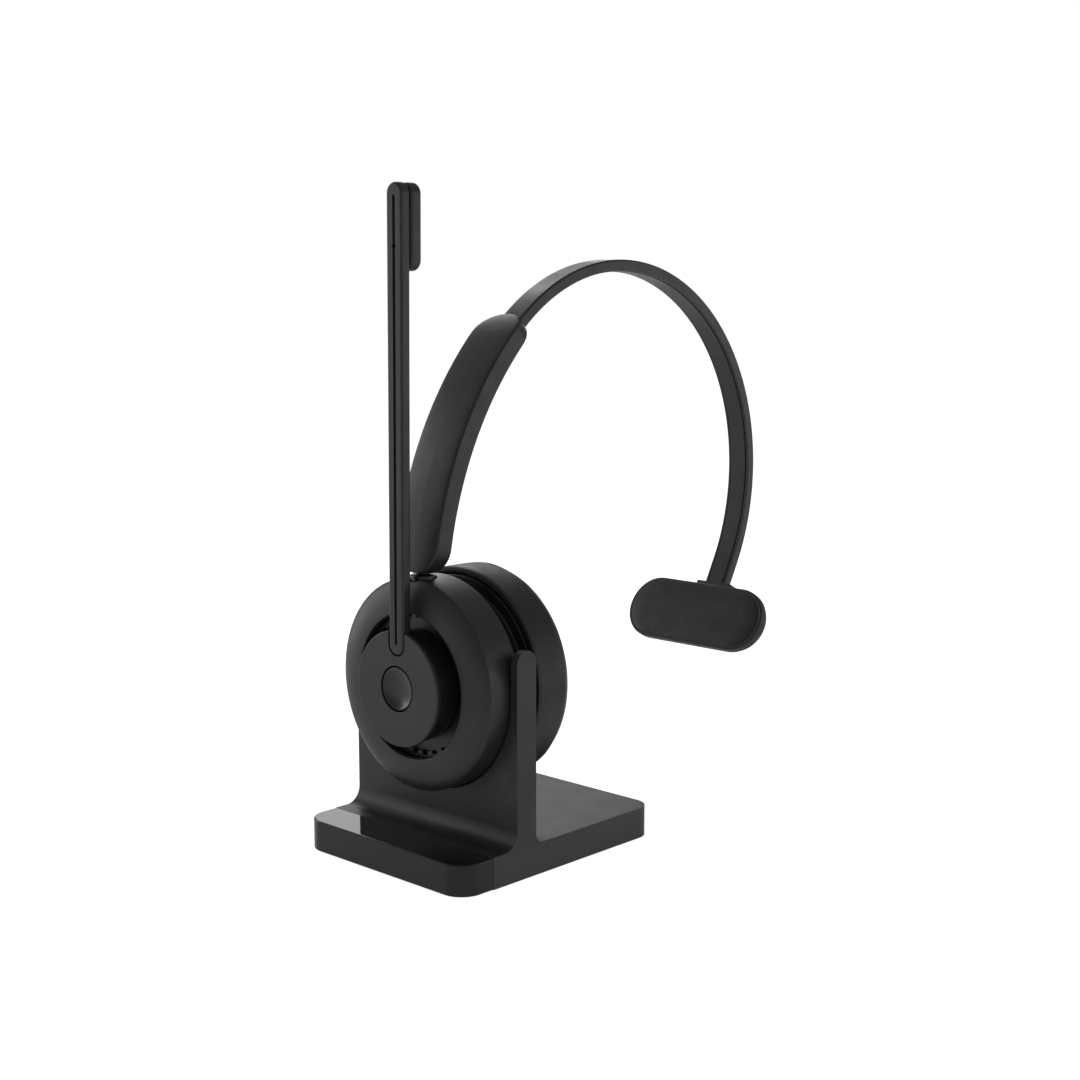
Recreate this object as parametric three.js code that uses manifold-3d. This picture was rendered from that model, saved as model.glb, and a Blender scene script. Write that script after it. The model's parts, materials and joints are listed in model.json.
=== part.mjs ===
// Wireless office headset standing in its charging dock, in millimetres, +Z up.
// Origin: underside of the dock, on the centre line of its upright plate.
// +X runs across the dock, +Y from the microphone side towards the ear side.
import * as THREE from "three";
import { mergeVertices } from "three/addons/utils/BufferGeometryUtils.js";
import Module from "manifold-3d";

const wasm = await Module();
wasm.setup();

// ---------- driving dimensions ----------
const GAP = 0.3;                    // air between pieces that touch
const DOCK_WIDTH = 66.9;
const DOCK_FRONT = 25.3;            // plate centre to the front face
const DOCK_REAR = 55.0;             // plate centre to the rear face
const FOOT_HEIGHT = 9.6;
const FRONT_CORNER = 7;
const REAR_CORNER = 6;
const SEAM_Y = -13.2;               // joint between body and gloss nose
const SKIRT_Z = 0.4;                // lower edge of the dock's walls
const WALL = 1.6;
const PLATE_THICKNESS = 7.6;
const PRONG_TOP = 65.4;
const FRONT_FILLET = 5;
const REAR_FILLET = 3;

const CUP_AXIS_Z = 52.3;            // height of the ear cup's axis
const HOUSING_FRONT_Y = -13.3;
const HOUSING_REAR_Y = 0.1;
const HOLE_R = 21.05;
const CREASE_R = 30.6;
const CREASE_Y = -10.8;
const HOUSING_R = 30.87;
const NECK_R = 26.5;                // bottom of the groove that the dock holds
const CUSHION_R = 32.1;
const CUSHION_FRONT_Y = 6.6;
const CUSHION_REAR_Y = 20.2;
const CUSHION_HOLE_R = 13.5;
const FLANGE_Y = 6.3;
const CAP_R = 16.7;
const CAP_FRONT_Y = -18.0;
const BUTTON_R = 6.28;

const BOOM_WIDTH = 6.2;
const BOOM_THICKNESS = 3.2;
const BOOM_FOOT = 9.7;              // lower tip of the boom above the cup axis
const BOOM_TIP = 140;
const BOOM_LEAN = THREE.MathUtils.degToRad(0.6);
const MIC_PORT = 122.9;
const CAPSULE_BOTTOM = 116.2;

const NECK_Y = -7.5;                // swivel axis between ear cup and arm
const ARM_CENTRE = new THREE.Vector2(100.7, 73.0);
const ARM_WIDTH = 17.1;
const ARM_INNER_R = 107.1;
const ARM_OUTER_R = 111.6;
const ARM_SPLIT_R = 109.35;
const ARM_CROWN = 1.1;
const ARM_FOOT_ANGLE = THREE.MathUtils.degToRad(174.1);
const MOUTH_ANGLE = THREE.MathUtils.degToRad(131.2);
const STRIP_ARM_R = 107.7;          // slider strip's radius inside the arm
const STRIP_BAND_R = 67.3;          // and along the headband
const STRIP_THICKNESS = 0.9;
const STRIP_WIDTH = 5.8;
const STRIP_DEPTH_ANGLE = THREE.MathUtils.degToRad(164);
const BAND_WIDTH = 8.2;
const BAND_INNER_R = 65.65;
const BAND_OUTER_R = 69.3;
const BAND_END_ANGLE = THREE.MathUtils.degToRad(-28.6);
const BAND_TAIL = 8.4;

const PAD_CENTRE = new THREE.Vector2(116.3, 55.5);
const PAD_HALF_LENGTH = 27.6;
const PAD_HALF_HEIGHT = 10.8;
const PAD_FACE_Y = -0.6;            // the pad's soft face, in its own tilted frame
const PAD_REAR_Y = 3.1;
const PAD_PLATE = 1.2;

// ---------- materials ----------
const finish = (color, roughness, metalness = 0) =>
  () => new THREE.MeshStandardMaterial({ color, roughness, metalness });
const matte = finish(0x1c1c1e, 0.6);
const gloss = finish(0x060607, 0.08);
const satin = finish(0x18181a, 0.45);
const soft = finish(0x141415, 0.75);
const rubber = finish(0x101010, 0.9);
const steel = finish(0x8f9296, 0.35, 1);
const gold = finish(0xc9a34e, 0.3, 1);
const board = finish(0x1e5a3a, 0.5);
const pale = finish(0xc8ccd0, 0.6);

// ---------- geometry helpers ----------
function weld(geometry) {
  const plain = geometry.clone();
  plain.deleteAttribute("normal");
  plain.deleteAttribute("uv");
  const welded = mergeVertices(plain, 1e-4);
  const index = welded.getIndex().array;
  const kept = [];
  for (let i = 0; i < index.length; i += 3) {
    const [a, b, c] = [index[i], index[i + 1], index[i + 2]];
    if (a !== b && b !== c && c !== a) kept.push(a, b, c);
  }
  welded.setIndex(kept);
  return welded;
}

function solid(geometry) {
  const welded = weld(geometry);
  const vertProperties = new Float32Array(welded.getAttribute("position").array);
  const triVerts = new Uint32Array(welded.getIndex().array);
  return new wasm.Manifold(new wasm.Mesh({ numProp: 3, vertProperties, triVerts }));
}

function surface(manifold) {
  const mesh = manifold.getMesh();
  const geometry = new THREE.BufferGeometry();
  geometry.setAttribute("position", new THREE.BufferAttribute(mesh.vertProperties, 3));
  geometry.setIndex(Array.from(mesh.triVerts));
  return geometry;
}

function cut(base, ...tools) {
  return tools.reduce((body, tool) => body.subtract(tool), base);
}

const Y_OUT = new THREE.Vector3(0, 1, 0);
const X_OUT = new THREE.Vector3(1, 0, 0);
const Z_OUT = new THREE.Vector3(0, 0, 1);

// Outline in (Y, Z) pushed along X, centred on x = middle.
function alongX(shape, width, middle = 0, options = {}) {
  const bevel = options.bevelThickness ?? 0;
  const depth = width - 2 * bevel;
  const settings = { depth, bevelEnabled: bevel > 0, steps: 1, ...options };
  const geometry = new THREE.ExtrudeGeometry(shape, settings);
  geometry.applyMatrix4(new THREE.Matrix4().makeBasis(Y_OUT, Z_OUT, X_OUT));
  return geometry.translate(middle - depth / 2, 0, 0);
}

// Outline in (X, Z) pushed along Y from y0 up to y1.
function alongY(shape, y0, y1, curveSegments = 12) {
  const settings = { depth: y1 - y0, bevelEnabled: false, curveSegments };
  const geometry = new THREE.ExtrudeGeometry(shape, settings);
  const minusY = new THREE.Vector3(0, -1, 0);
  geometry.applyMatrix4(new THREE.Matrix4().makeBasis(X_OUT, Z_OUT, minusY));
  return geometry.translate(0, y1, 0);
}

// Outline in (X, Y) pushed along Z from z0 up to z1.
function alongZ(shape, z0, z1, curveSegments = 6) {
  const settings = { depth: z1 - z0, bevelEnabled: false, curveSegments };
  return new THREE.ExtrudeGeometry(shape, settings).translate(0, 0, z0);
}

// Profile of [radius, y] points turned about the Y axis.
function turned(points, segments = 48) {
  const profile = points.map(([r, y]) => new THREE.Vector2(r, y));
  const area = THREE.ShapeUtils.area(profile);
  const ordered = area < 0 ? profile.slice().reverse() : profile;
  const closed = ordered.every((point) => point.x > 0);
  if (closed) ordered.push(ordered[0].clone());
  return new THREE.LatheGeometry(ordered, segments);
}

function box(x0, x1, y0, y1, z0, z1) {
  const geometry = new THREE.BoxGeometry(x1 - x0, y1 - y0, z1 - z0);
  return geometry.translate((x0 + x1) / 2, (y0 + y1) / 2, (z0 + z1) / 2);
}

function rodZ(x, y, radius, z0, z1, segments = 12) {
  const geometry = new THREE.CylinderGeometry(radius, radius, z1 - z0, segments);
  return geometry.rotateX(Math.PI / 2).translate(x, y, (z0 + z1) / 2);
}

function rodY(x, z, radius, y0, y1, segments = 12) {
  const geometry = new THREE.CylinderGeometry(radius, radius, y1 - y0, segments);
  return geometry.translate(x, (y0 + y1) / 2, z);
}

function rodX(y, z, radius, x0, x1, segments = 12) {
  const geometry = new THREE.CylinderGeometry(radius, radius, x1 - x0, segments);
  return geometry.rotateZ(Math.PI / 2).translate((x0 + x1) / 2, y, z);
}

// Rectangle with its own radius at the front (low) and rear (high) corners.
function roundedFootprint(halfWidth, front, rear, frontRadius, rearRadius) {
  const shape = new THREE.Shape();
  const quarter = Math.PI / 2;
  shape.absarc(halfWidth - rearRadius, rear - rearRadius, rearRadius, 0, quarter);
  shape.absarc(rearRadius - halfWidth, rear - rearRadius, rearRadius, quarter, Math.PI);
  if (frontRadius > 0) {
    const low = front + frontRadius;
    const side = halfWidth - frontRadius;
    shape.absarc(-side, low, frontRadius, Math.PI, 3 * quarter);
    shape.absarc(side, low, frontRadius, 3 * quarter, 4 * quarter);
  } else {
    shape.lineTo(-halfWidth, front);
    shape.lineTo(halfWidth, front);
  }
  shape.closePath();
  return shape;
}

// Slot outline: a half-round foot at zLow and a half-round top at zHigh.
function stadiumUp(radius, zLow, zHigh) {
  const shape = new THREE.Shape();
  shape.absarc(0, zHigh - radius, radius, 0, Math.PI);
  shape.absarc(0, zLow + radius, radius, Math.PI, 2 * Math.PI);
  shape.closePath();
  return shape;
}

function stadiumAcross(halfLength, radius) {
  const shape = new THREE.Shape();
  const quarter = Math.PI / 2;
  shape.absarc(halfLength - radius, 0, radius, -quarter, quarter);
  shape.absarc(radius - halfLength, 0, radius, quarter, 3 * quarter);
  shape.closePath();
  return shape;
}

// U-shaped opening about the cup axis, open at the top.
function cradleOpening(radius, yLow, yHigh) {
  const shape = new THREE.Shape();
  shape.absarc(0, CUP_AXIS_Z, radius, Math.PI, 2 * Math.PI);
  shape.lineTo(radius, PRONG_TOP + WALL);
  shape.lineTo(-radius, PRONG_TOP + WALL);
  shape.closePath();
  return solid(alongY(shape, yLow, yHigh, 28));
}

const part = new THREE.Group();

function add(parent, name, geometry, material) {
  const mesh = new THREE.Mesh(geometry, material());
  mesh.name = name;
  parent.add(mesh);
  return mesh;
}

// ---------- charging dock ----------
const HALF_WIDTH = DOCK_WIDTH / 2;
const HALF_PLATE = PLATE_THICKNESS / 2;
const CRADLE_R = HOUSING_R + GAP;
const LIP_R = NECK_R + 0.8;
const LIP_Y = 0.5;                  // the lip stands behind the housing's rear rim
const CAVITY_TOP = FOOT_HEIGHT - 2;
const BODY_FRONT = SEAM_Y + GAP / 2;
const COVER_REAR = SEAM_Y - GAP / 2;
const PLATE_LOW = 0.9;              // bottom plate, between these heights
const PLATE_HIGH = 2.4;
const INSIDE_LOW = PLATE_HIGH + GAP;
const BOSS_X = 27;
const BOSS_Y = [-7.5, 46.5];
const PIN_X = 4;
const PIN_Y = 2.15;
const PIN_R = 0.8;
const PIN_TRAVEL = 0.8;
const CONTACT_Z = CUP_AXIS_Z - NECK_R + 0.05;

function dockProfile() {
  const shape = new THREE.Shape();
  const quarter = Math.PI / 2;
  shape.moveTo(BODY_FRONT, SKIRT_Z);
  shape.lineTo(DOCK_REAR, SKIRT_Z);
  shape.lineTo(DOCK_REAR, FOOT_HEIGHT);
  const rearY = HALF_PLATE + REAR_FILLET;
  shape.absarc(rearY, FOOT_HEIGHT + REAR_FILLET, REAR_FILLET, 3 * quarter, 2 * quarter, true);
  shape.absarc(0, PRONG_TOP - HALF_PLATE, HALF_PLATE, 0, Math.PI);
  const frontY = -HALF_PLATE - FRONT_FILLET;
  shape.absarc(frontY, FOOT_HEIGHT + FRONT_FILLET, FRONT_FILLET, 0, -quarter, true);
  shape.lineTo(BODY_FRONT, FOOT_HEIGHT);
  shape.closePath();
  return shape;
}

function dockBody() {
  const profile = solid(alongX(dockProfile(), DOCK_WIDTH, 0, { curveSegments: 8 }));
  const footprint = roundedFootprint(HALF_WIDTH, -DOCK_FRONT, DOCK_REAR, 0, REAR_CORNER);
  let body = profile.intersect(solid(alongZ(footprint, 0, PRONG_TOP + 1)));
  const inside = HALF_WIDTH - WALL - 0.4;
  body = cut(
    body,
    cradleOpening(CRADLE_R, -HALF_PLATE - 1, LIP_Y),
    cradleOpening(LIP_R, LIP_Y - 0.1, HALF_PLATE + 1),
    solid(box(-CRADLE_R, CRADLE_R, 0, HALF_PLATE + 1, CUP_AXIS_Z - 6, PRONG_TOP + 1)),
    solid(box(-inside, inside, BODY_FRONT + WALL, DOCK_REAR - WALL, 0, CAVITY_TOP)),
    solid(box(-inside, inside, BODY_FRONT - 1, 0, 0, INSIDE_LOW)),
    solid(box(-8, 8, -2.2, 2.2, CAVITY_TOP - 1, CUP_AXIS_Z - CRADLE_R - WALL)),
    solid(box(-5, 5, DOCK_REAR - WALL - 1, DOCK_REAR + 1, 3.6, 7.4)),
  );
  for (const side of [-1, 1]) {
    const chimney = rodZ(side * PIN_X, PIN_Y, PIN_R + GAP, CAVITY_TOP, CUP_AXIS_Z - NECK_R);
    body = body.subtract(solid(chimney));
    for (const y of BOSS_Y) {
      const boss = solid(rodZ(side * BOSS_X, y, 3, INSIDE_LOW, CAVITY_TOP + 1));
      body = body.add(boss).subtract(solid(rodZ(side * BOSS_X, y, 1.5, 0, CAVITY_TOP)));
    }
  }
  return surface(body);
}

function frontCover() {
  const outer = new THREE.Shape();
  const quarter = Math.PI / 2;
  const side = HALF_WIDTH - FRONT_CORNER;
  const low = FRONT_CORNER - DOCK_FRONT;
  outer.moveTo(HALF_WIDTH, COVER_REAR);
  outer.lineTo(-HALF_WIDTH, COVER_REAR);
  outer.absarc(-side, low, FRONT_CORNER, 2 * quarter, 3 * quarter);
  outer.absarc(side, low, FRONT_CORNER, 3 * quarter, 4 * quarter);
  outer.closePath();
  const inner = roundedFootprint(HALF_WIDTH - WALL, WALL - DOCK_FRONT, 0, FRONT_CORNER - WALL, 1);
  const shell = solid(alongZ(outer, SKIRT_Z, FOOT_HEIGHT, 8));
  return surface(shell.subtract(solid(alongZ(inner, -1, FOOT_HEIGHT - WALL, 8))));
}

function bottomPlate() {
  const half = HALF_WIDTH - WALL - 0.4 - GAP;
  const footprint = roundedFootprint(half, 2.3 - DOCK_FRONT, DOCK_REAR - WALL - GAP, 5, 3.5);
  let plate = solid(alongZ(footprint, PLATE_LOW, PLATE_HIGH));
  for (const side of [-1, 1]) {
    for (const y of BOSS_Y) {
      const x = side * BOSS_X;
      const head = solid(rodZ(x, y, 2.5, 0, PLATE_LOW + 0.9));
      plate = cut(plate, head, solid(rodZ(x, y, 1.5, 0, PLATE_HIGH + 1)));
    }
  }
  return surface(plate);
}

// Countersunk-head screw as one turned piece, head down.
function screw(headR, headHeight, shankR, length) {
  const points = [[0, 0], [headR, 0], [headR, headHeight], [shankR, headHeight],
    [shankR, length - shankR], [0, length]];
  return turned(points, 10);
}

// Shell of the charging inlet with the contact tongue inside.
function usbSocket() {
  const shell = solid(box(-4.6, 4.6, 46, DOCK_REAR - 0.2, 3.9, 7.1));
  const mouth = solid(box(-4.2, 4.2, 48, DOCK_REAR, 4.3, 6.7));
  const tongue = solid(box(-3.3, 3.3, 47.5, DOCK_REAR - 1.2, 5.2, 5.8));
  return surface(shell.subtract(mouth).add(tongue));
}

const dock = new THREE.Group();
part.add(dock);
add(dock, "dock_body", dockBody(), matte);
add(dock, "dock_front_cover", frontCover(), gloss);
add(dock, "dock_bottom_plate", bottomPlate(), matte);
const padFootprint = roundedFootprint(29.4, 4 - DOCK_FRONT, DOCK_REAR - 4.5, 4, 3);
add(dock, "dock_anti_slip_pad", alongZ(padFootprint, 0, PLATE_LOW - GAP), rubber);
add(dock, "dock_ballast_plate", box(-22, 22, -8, 31, INSIDE_LOW, 6.2), steel);
add(dock, "dock_circuit_board", box(-15, 15, 33, 52, INSIDE_LOW, 3.4), board);
add(dock, "dock_usb_socket", usbSocket(), steel);
const contactBlockTop = CONTACT_Z - 10;
add(dock, "dock_contact_block", box(-7, 7, -1.8, 1.8, 7.8, contactBlockTop), matte);
let screwNumber = 0;
for (const side of [-1, 1]) {
  for (const y of BOSS_Y) {
    screwNumber += 1;
    const name = `dock_screw_${screwNumber}`;
    const mesh = add(dock, name, screw(2.2, 0.6, 1.2, 6), steel);
    mesh.rotation.x = Math.PI / 2;
    mesh.position.set(side * BOSS_X, y, PLATE_LOW);
  }
}
[-1, 1].forEach((side, i) => {
  const low = contactBlockTop + PIN_TRAVEL + GAP;
  const pin = rodZ(side * PIN_X, PIN_Y, PIN_R, low, CONTACT_Z - GAP);
  add(dock, `dock_charge_pin_${i + 1}`, pin, gold);
});

// ---------- ear cup ----------
const cup = new THREE.Group();
cup.position.z = CUP_AXIS_Z;
part.add(cup);
const WALL_Z = HOUSING_R - 1.8;     // inside of the housing wall
const VOLUME_Y = -7.6;
const VOLUME_ANGLES = [10, -10];

function volumeKey(angle, grow, depth) {
  const z = HOUSING_R * Math.sin(THREE.MathUtils.degToRad(angle));
  const halfHigh = 3.6 + grow;
  const halfWide = 1.5 + grow;
  const x = -HOUSING_R - 0.2;
  return box(x - grow, x + depth, VOLUME_Y - halfWide, VOLUME_Y + halfWide, z - halfHigh, z + halfHigh);
}

function housingRing() {
  const front = [];
  const steps = 4;
  for (let i = 0; i <= steps; i += 1) {
    const turn = (Math.PI / 2) * (i / steps);
    const r = HOLE_R + (CREASE_R - HOLE_R) * Math.sin(turn);
    const y = CREASE_Y + (HOUSING_FRONT_Y - CREASE_Y) * Math.cos(turn);
    front.push([r, y]);
  }
  const profile = [...front, [HOUSING_R, HOUSING_REAR_Y], [WALL_Z, HOUSING_REAR_Y],
    [28.4, -9.4], [27, -10.6], [23, -11.3], [HOLE_R, -11.4]];
  const ring = cut(
    solid(turned(profile)),
    solid(rodZ(0, NECK_Y, 4.1, 20, 40, 24)),
    ...VOLUME_ANGLES.map((angle) => solid(volumeKey(angle, GAP, 5))),
  );
  return surface(ring);
}

function detentRing() {
  const shape = new THREE.Shape();
  shape.absarc(0, 0, 25.3, 0, 2 * Math.PI);
  const hole = new THREE.Path();
  const teeth = 30;
  const [valleyR, tipR] = [20.3, 19.3];
  // Share of a tooth's pitch at which each corner stands, and its radius.
  const toothCorners = [[0, valleyR], [0.45, valleyR], [0.5, tipR], [0.95, tipR]];
  for (let i = 0; i < teeth; i += 1) {
    const step = (2 * Math.PI) / teeth;
    for (const [share, r] of toothCorners) {
      const angle = (i + share) * step;
      const x = r * Math.cos(angle);
      const z = r * Math.sin(angle);
      if (i === 0 && share === 0) hole.moveTo(x, z);
      else hole.lineTo(x, z);
    }
  }
  hole.closePath();
  shape.holes.push(hole);
  return alongY(shape, -10.2, -9.0, 20);
}

function hubMount() {
  const profile = [[0, -13.2], [3.4, -13.2], [4.5, -12.6], [4.5, -8.7], [26.3, -8.7],
    [26.3, -7.5], [0, -7.5]];
  const flat = box(-30, 30, -9, -7, 25.2, 30);
  return surface(solid(turned(profile, 48)).subtract(solid(flat)));
}

function rearShell() {
  const neckIn = NECK_R - 1.9;
  const flangeR = 29.7;
  const profile = [[neckIn, -1.8], [WALL_Z - GAP, -1.8], [WALL_Z - GAP, -0.2], [NECK_R, -0.2],
    [NECK_R, FLANGE_Y], [flangeR, FLANGE_Y], [flangeR, 7.6], [neckIn, 7.6]];
  const holes = [-1, 1].map((side) => solid(rodZ(side * PIN_X, PIN_Y, 1.9, -30, -20)));
  return surface(cut(solid(turned(profile)), ...holes));
}

function baffle() {
  let plate = solid(turned([[0, 7.9], [29.7, 7.9], [29.7, 9.5], [0, 9.5]]));
  const rings = [[0, 1], [3.6, 6], [7, 10]];
  for (const [radius, count] of rings) {
    for (let i = 0; i < count; i += 1) {
      const angle = (2 * Math.PI * i) / count;
      const hole = rodY(radius * Math.cos(angle), radius * Math.sin(angle), 1.1, 7, 10, 8);
      plate = plate.subtract(solid(hole));
    }
  }
  return surface(plate);
}

function earCushion() {
  const skirtR = 30.05;
  const foamY = 9.9;
  const seamY = CUSHION_REAR_Y - 3;
  const profile = [[skirtR, CUSHION_FRONT_Y], [CUSHION_R - 0.6, CUSHION_FRONT_Y], [CUSHION_R, 7.6],
    [CUSHION_R, seamY], [CUSHION_R - 0.5, CUSHION_REAR_Y - 1.2], [CUSHION_R - 2, CUSHION_REAR_Y],
    [CUSHION_HOLE_R + 3, CUSHION_REAR_Y], [CUSHION_HOLE_R + 0.8, CUSHION_REAR_Y - 1],
    [CUSHION_HOLE_R, seamY], [CUSHION_HOLE_R, foamY], [skirtR, foamY]];
  return turned(profile);
}

add(cup, "housing_ring", housingRing(), matte);
add(cup, "detent_ring", detentRing(), satin);
add(cup, "hub_mount", hubMount(), satin);
add(cup, "hub_retainer", turned([[4.8, -12.4], [7.4, -12.4], [7.4, -11.4], [4.8, -11.4]], 32), steel);
add(cup, "rear_shell", rearShell(), satin);
add(cup, "main_board", turned([[0, -7.1], [21.5, -7.1], [21.5, -6.1], [0, -6.1]], 32), board);
add(cup, "battery", box(-13, 13, -5.7, -2.3, -11, 11), pale);
add(cup, "speaker_magnet", turned([[0, -1.7], [8, -1.7], [8, 2.3], [0, 2.3]], 32), steel);
const basket = [[6.5, 2.6], [9.5, 2.6], [16.2, 5.6], [16.2, 7.5], [15.2, 7.5], [15.2, 6.2],
  [9, 3.6], [6.5, 3.6]];
add(cup, "speaker_basket", turned(basket, 24), satin);
const cone = [[0, 5.9], [7, 5.2], [14.9, 6.6], [14.9, 7.2], [7, 5.8], [0, 6.6]];
add(cup, "speaker_diaphragm", turned(cone, 24), pale);
add(cup, "speaker_baffle", baffle(), satin);
add(cup, "acoustic_cloth", turned([[0, 9.8], [13.1, 9.8], [13.1, 10.3], [0, 10.3]], 32), soft);
add(cup, "ear_cushion", earCushion(), soft);
[-1, 1].forEach((side, i) => {
  const contact = turned([[0, 0], [1.55, 0], [1.55, 0.7], [0.7, 0.7], [0.7, 3], [0, 3]], 12);
  const mesh = add(cup, `charge_contact_${i + 1}`, contact, gold);
  mesh.rotation.x = Math.PI / 2;
  mesh.position.set(side * PIN_X, PIN_Y, CONTACT_Z - CUP_AXIS_Z);
});
add(cup, "volume_switch_board", box(-27.4, -26.7, -9.4, -5.8, -6, 6), board);
VOLUME_ANGLES.forEach((angle, i) => {
  const name = i === 0 ? "volume_up_button" : "volume_down_button";
  add(cup, name, volumeKey(angle, 0, 2.3), satin);
});

// The call button's dished face and the stem that reaches its switch.
const buttonFace = CAP_FRONT_Y + 0.1;
const buttonProfile = [[0, buttonFace + 0.9], [2.4, buttonFace + 0.75], [4.4, buttonFace + 0.35],
  [5.9, buttonFace], [BUTTON_R, buttonFace + 0.3], [BUTTON_R, -15.4], [2, -15.4], [2, -14.6],
  [0, -14.6]];
add(cup, "call_button", turned(buttonProfile, 32), satin);
add(cup, "call_switch", box(-2, 2, -14.1, -13.4, -2, 2), steel);

// ---------- boom, turning on the hub ----------
const boom = new THREE.Group();
boom.rotation.y = BOOM_LEAN;
cup.add(boom);
const CAP_REAR_Y = CAP_FRONT_Y + 1.4;
const BOOM_FRONT_Y = CAP_FRONT_Y - 0.2;
const BOOM_REAR_Y = BOOM_FRONT_Y + BOOM_THICKNESS;
const BOOM_HALF = BOOM_WIDTH / 2;

function boomSlot(y0, y1) {
  return solid(alongY(stadiumUp(BOOM_HALF + GAP, BOOM_FOOT - GAP, 30), y0, y1));
}

function hubCap() {
  const profile = [[BUTTON_R + 0.35, CAP_FRONT_Y], [CAP_R - 0.4, CAP_FRONT_Y], [CAP_R, CAP_FRONT_Y + 0.4],
    [CAP_R, CAP_REAR_Y], [BUTTON_R + 0.35, CAP_REAR_Y]];
  return surface(solid(turned(profile)).subtract(boomSlot(-19, -16)));
}

function hubDrum() {
  const front = CAP_REAR_Y + GAP;
  const profile = [[5, -10.8], [13.9, -10.8], [13.9, front], [15.6, front], [16, -12], [15.8, -9.3],
    [5, -9.3]];
  return surface(solid(turned(profile, 48)).subtract(boomSlot(-17, BOOM_REAR_Y + GAP)));
}

function boomBar() {
  const outline = stadiumUp(BOOM_HALF, BOOM_FOOT, BOOM_TIP);
  const bar = solid(alongY(outline, BOOM_FRONT_Y, BOOM_REAR_Y, 10));
  const groove = stadiumUp(0.5, BOOM_FOOT + 3, BOOM_TIP - 3.4);
  const grooveFloor = BOOM_FRONT_Y + 0.7;
  const channel = solid(alongY(groove, BOOM_FRONT_Y - 1, grooveFloor, 4));
  const port = solid(rodY(0, MIC_PORT, 0.7, BOOM_FRONT_Y - 1, BOOM_REAR_Y + 1, 12));
  return surface(cut(bar, channel, port));
}

function micCapsule() {
  const front = BOOM_REAR_Y + GAP;
  const rear = front + 4.1;
  const outer = stadiumUp(BOOM_HALF, CAPSULE_BOTTOM, BOOM_TIP);
  const inner = stadiumUp(BOOM_HALF - 0.8, CAPSULE_BOTTOM + 0.8, BOOM_TIP - 0.8);
  const shell = solid(alongY(outer, front, rear, 10));
  return surface(shell.subtract(solid(alongY(inner, front - 1, rear - 1, 8))));
}

add(boom, "hub_cap", hubCap(), matte);
add(boom, "hub_drum", hubDrum(), satin);
add(boom, "boom_bar", boomBar(), matte);
add(boom, "mic_capsule", micCapsule(), matte);
const micFront = BOOM_REAR_Y + 0.4;
add(boom, "mic_element", rodY(0, MIC_PORT, 1.9, micFront, micFront + 2, 20), steel);

// ---------- arm, headband and temple pad ----------
// All outlines are drawn in (Y, Z); directions turn from +Y towards +Z.
const direction = (angle) => new THREE.Vector2(Math.cos(angle), Math.sin(angle));
const BAND_CENTRE = ARM_CENTRE.clone()
  .addScaledVector(direction(MOUTH_ANGLE), STRIP_ARM_R - STRIP_BAND_R);
const DOWN = direction(BAND_END_ANGLE - Math.PI / 2);

// Slice of a ring between two radii and two angles.
function ringSlice(centre, innerR, outerR, low, high) {
  const shape = new THREE.Shape();
  shape.absarc(centre.x, centre.y, outerR, low, high);
  shape.absarc(centre.x, centre.y, innerR, high, low, true);
  shape.closePath();
  return shape;
}

// The same along the headband, with the straight tail at its lower end.
function bandShape(innerR, outerR, tail) {
  const shape = new THREE.Shape();
  const end = direction(BAND_END_ANGLE);
  const outerEnd = BAND_CENTRE.clone().addScaledVector(end, outerR);
  const innerEnd = BAND_CENTRE.clone().addScaledVector(end, innerR);
  innerEnd.addScaledVector(DOWN, tail);
  outerEnd.addScaledVector(DOWN, tail);
  shape.moveTo(innerEnd.x, innerEnd.y);
  shape.lineTo(outerEnd.x, outerEnd.y);
  shape.absarc(BAND_CENTRE.x, BAND_CENTRE.y, outerR, BAND_END_ANGLE, MOUTH_ANGLE - 0.006);
  shape.absarc(BAND_CENTRE.x, BAND_CENTRE.y, innerR, MOUTH_ANGLE - 0.006, BAND_END_ANGLE, true);
  shape.closePath();
  return shape;
}

const arm = new THREE.Group();
part.add(arm);
const halfStrip = STRIP_THICKNESS / 2;
const tangHole = solid(rodZ(0, NECK_Y, 2.1, 80, 92));
const ARM_SCREWS = [[-6.2, 137], [6.2, 137], [0, 169]];

// Rod that points from the arm's inner face out towards its outer face.
function radialRod(x, degrees, radius, fromR, toR) {
  const angle = THREE.MathUtils.degToRad(degrees);
  const rod = new THREE.CylinderGeometry(radius, radius, toR - fromR, 10);
  rod.rotateX(angle).translate(x, 0, 0);
  const middle = ARM_CENTRE.clone().addScaledVector(direction(angle), (fromR + toR) / 2);
  return rod.translate(0, middle.x, middle.y);
}

function crownedArm(innerR, outerR) {
  const shape = ringSlice(ARM_CENTRE, innerR, outerR, MOUTH_ANGLE, ARM_FOOT_ANGLE);
  const settings = { curveSegments: 10, bevelThickness: 2.4, bevelSize: ARM_CROWN, bevelSegments: 1 };
  return solid(alongX(shape, ARM_WIDTH, 0, settings));
}

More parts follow.
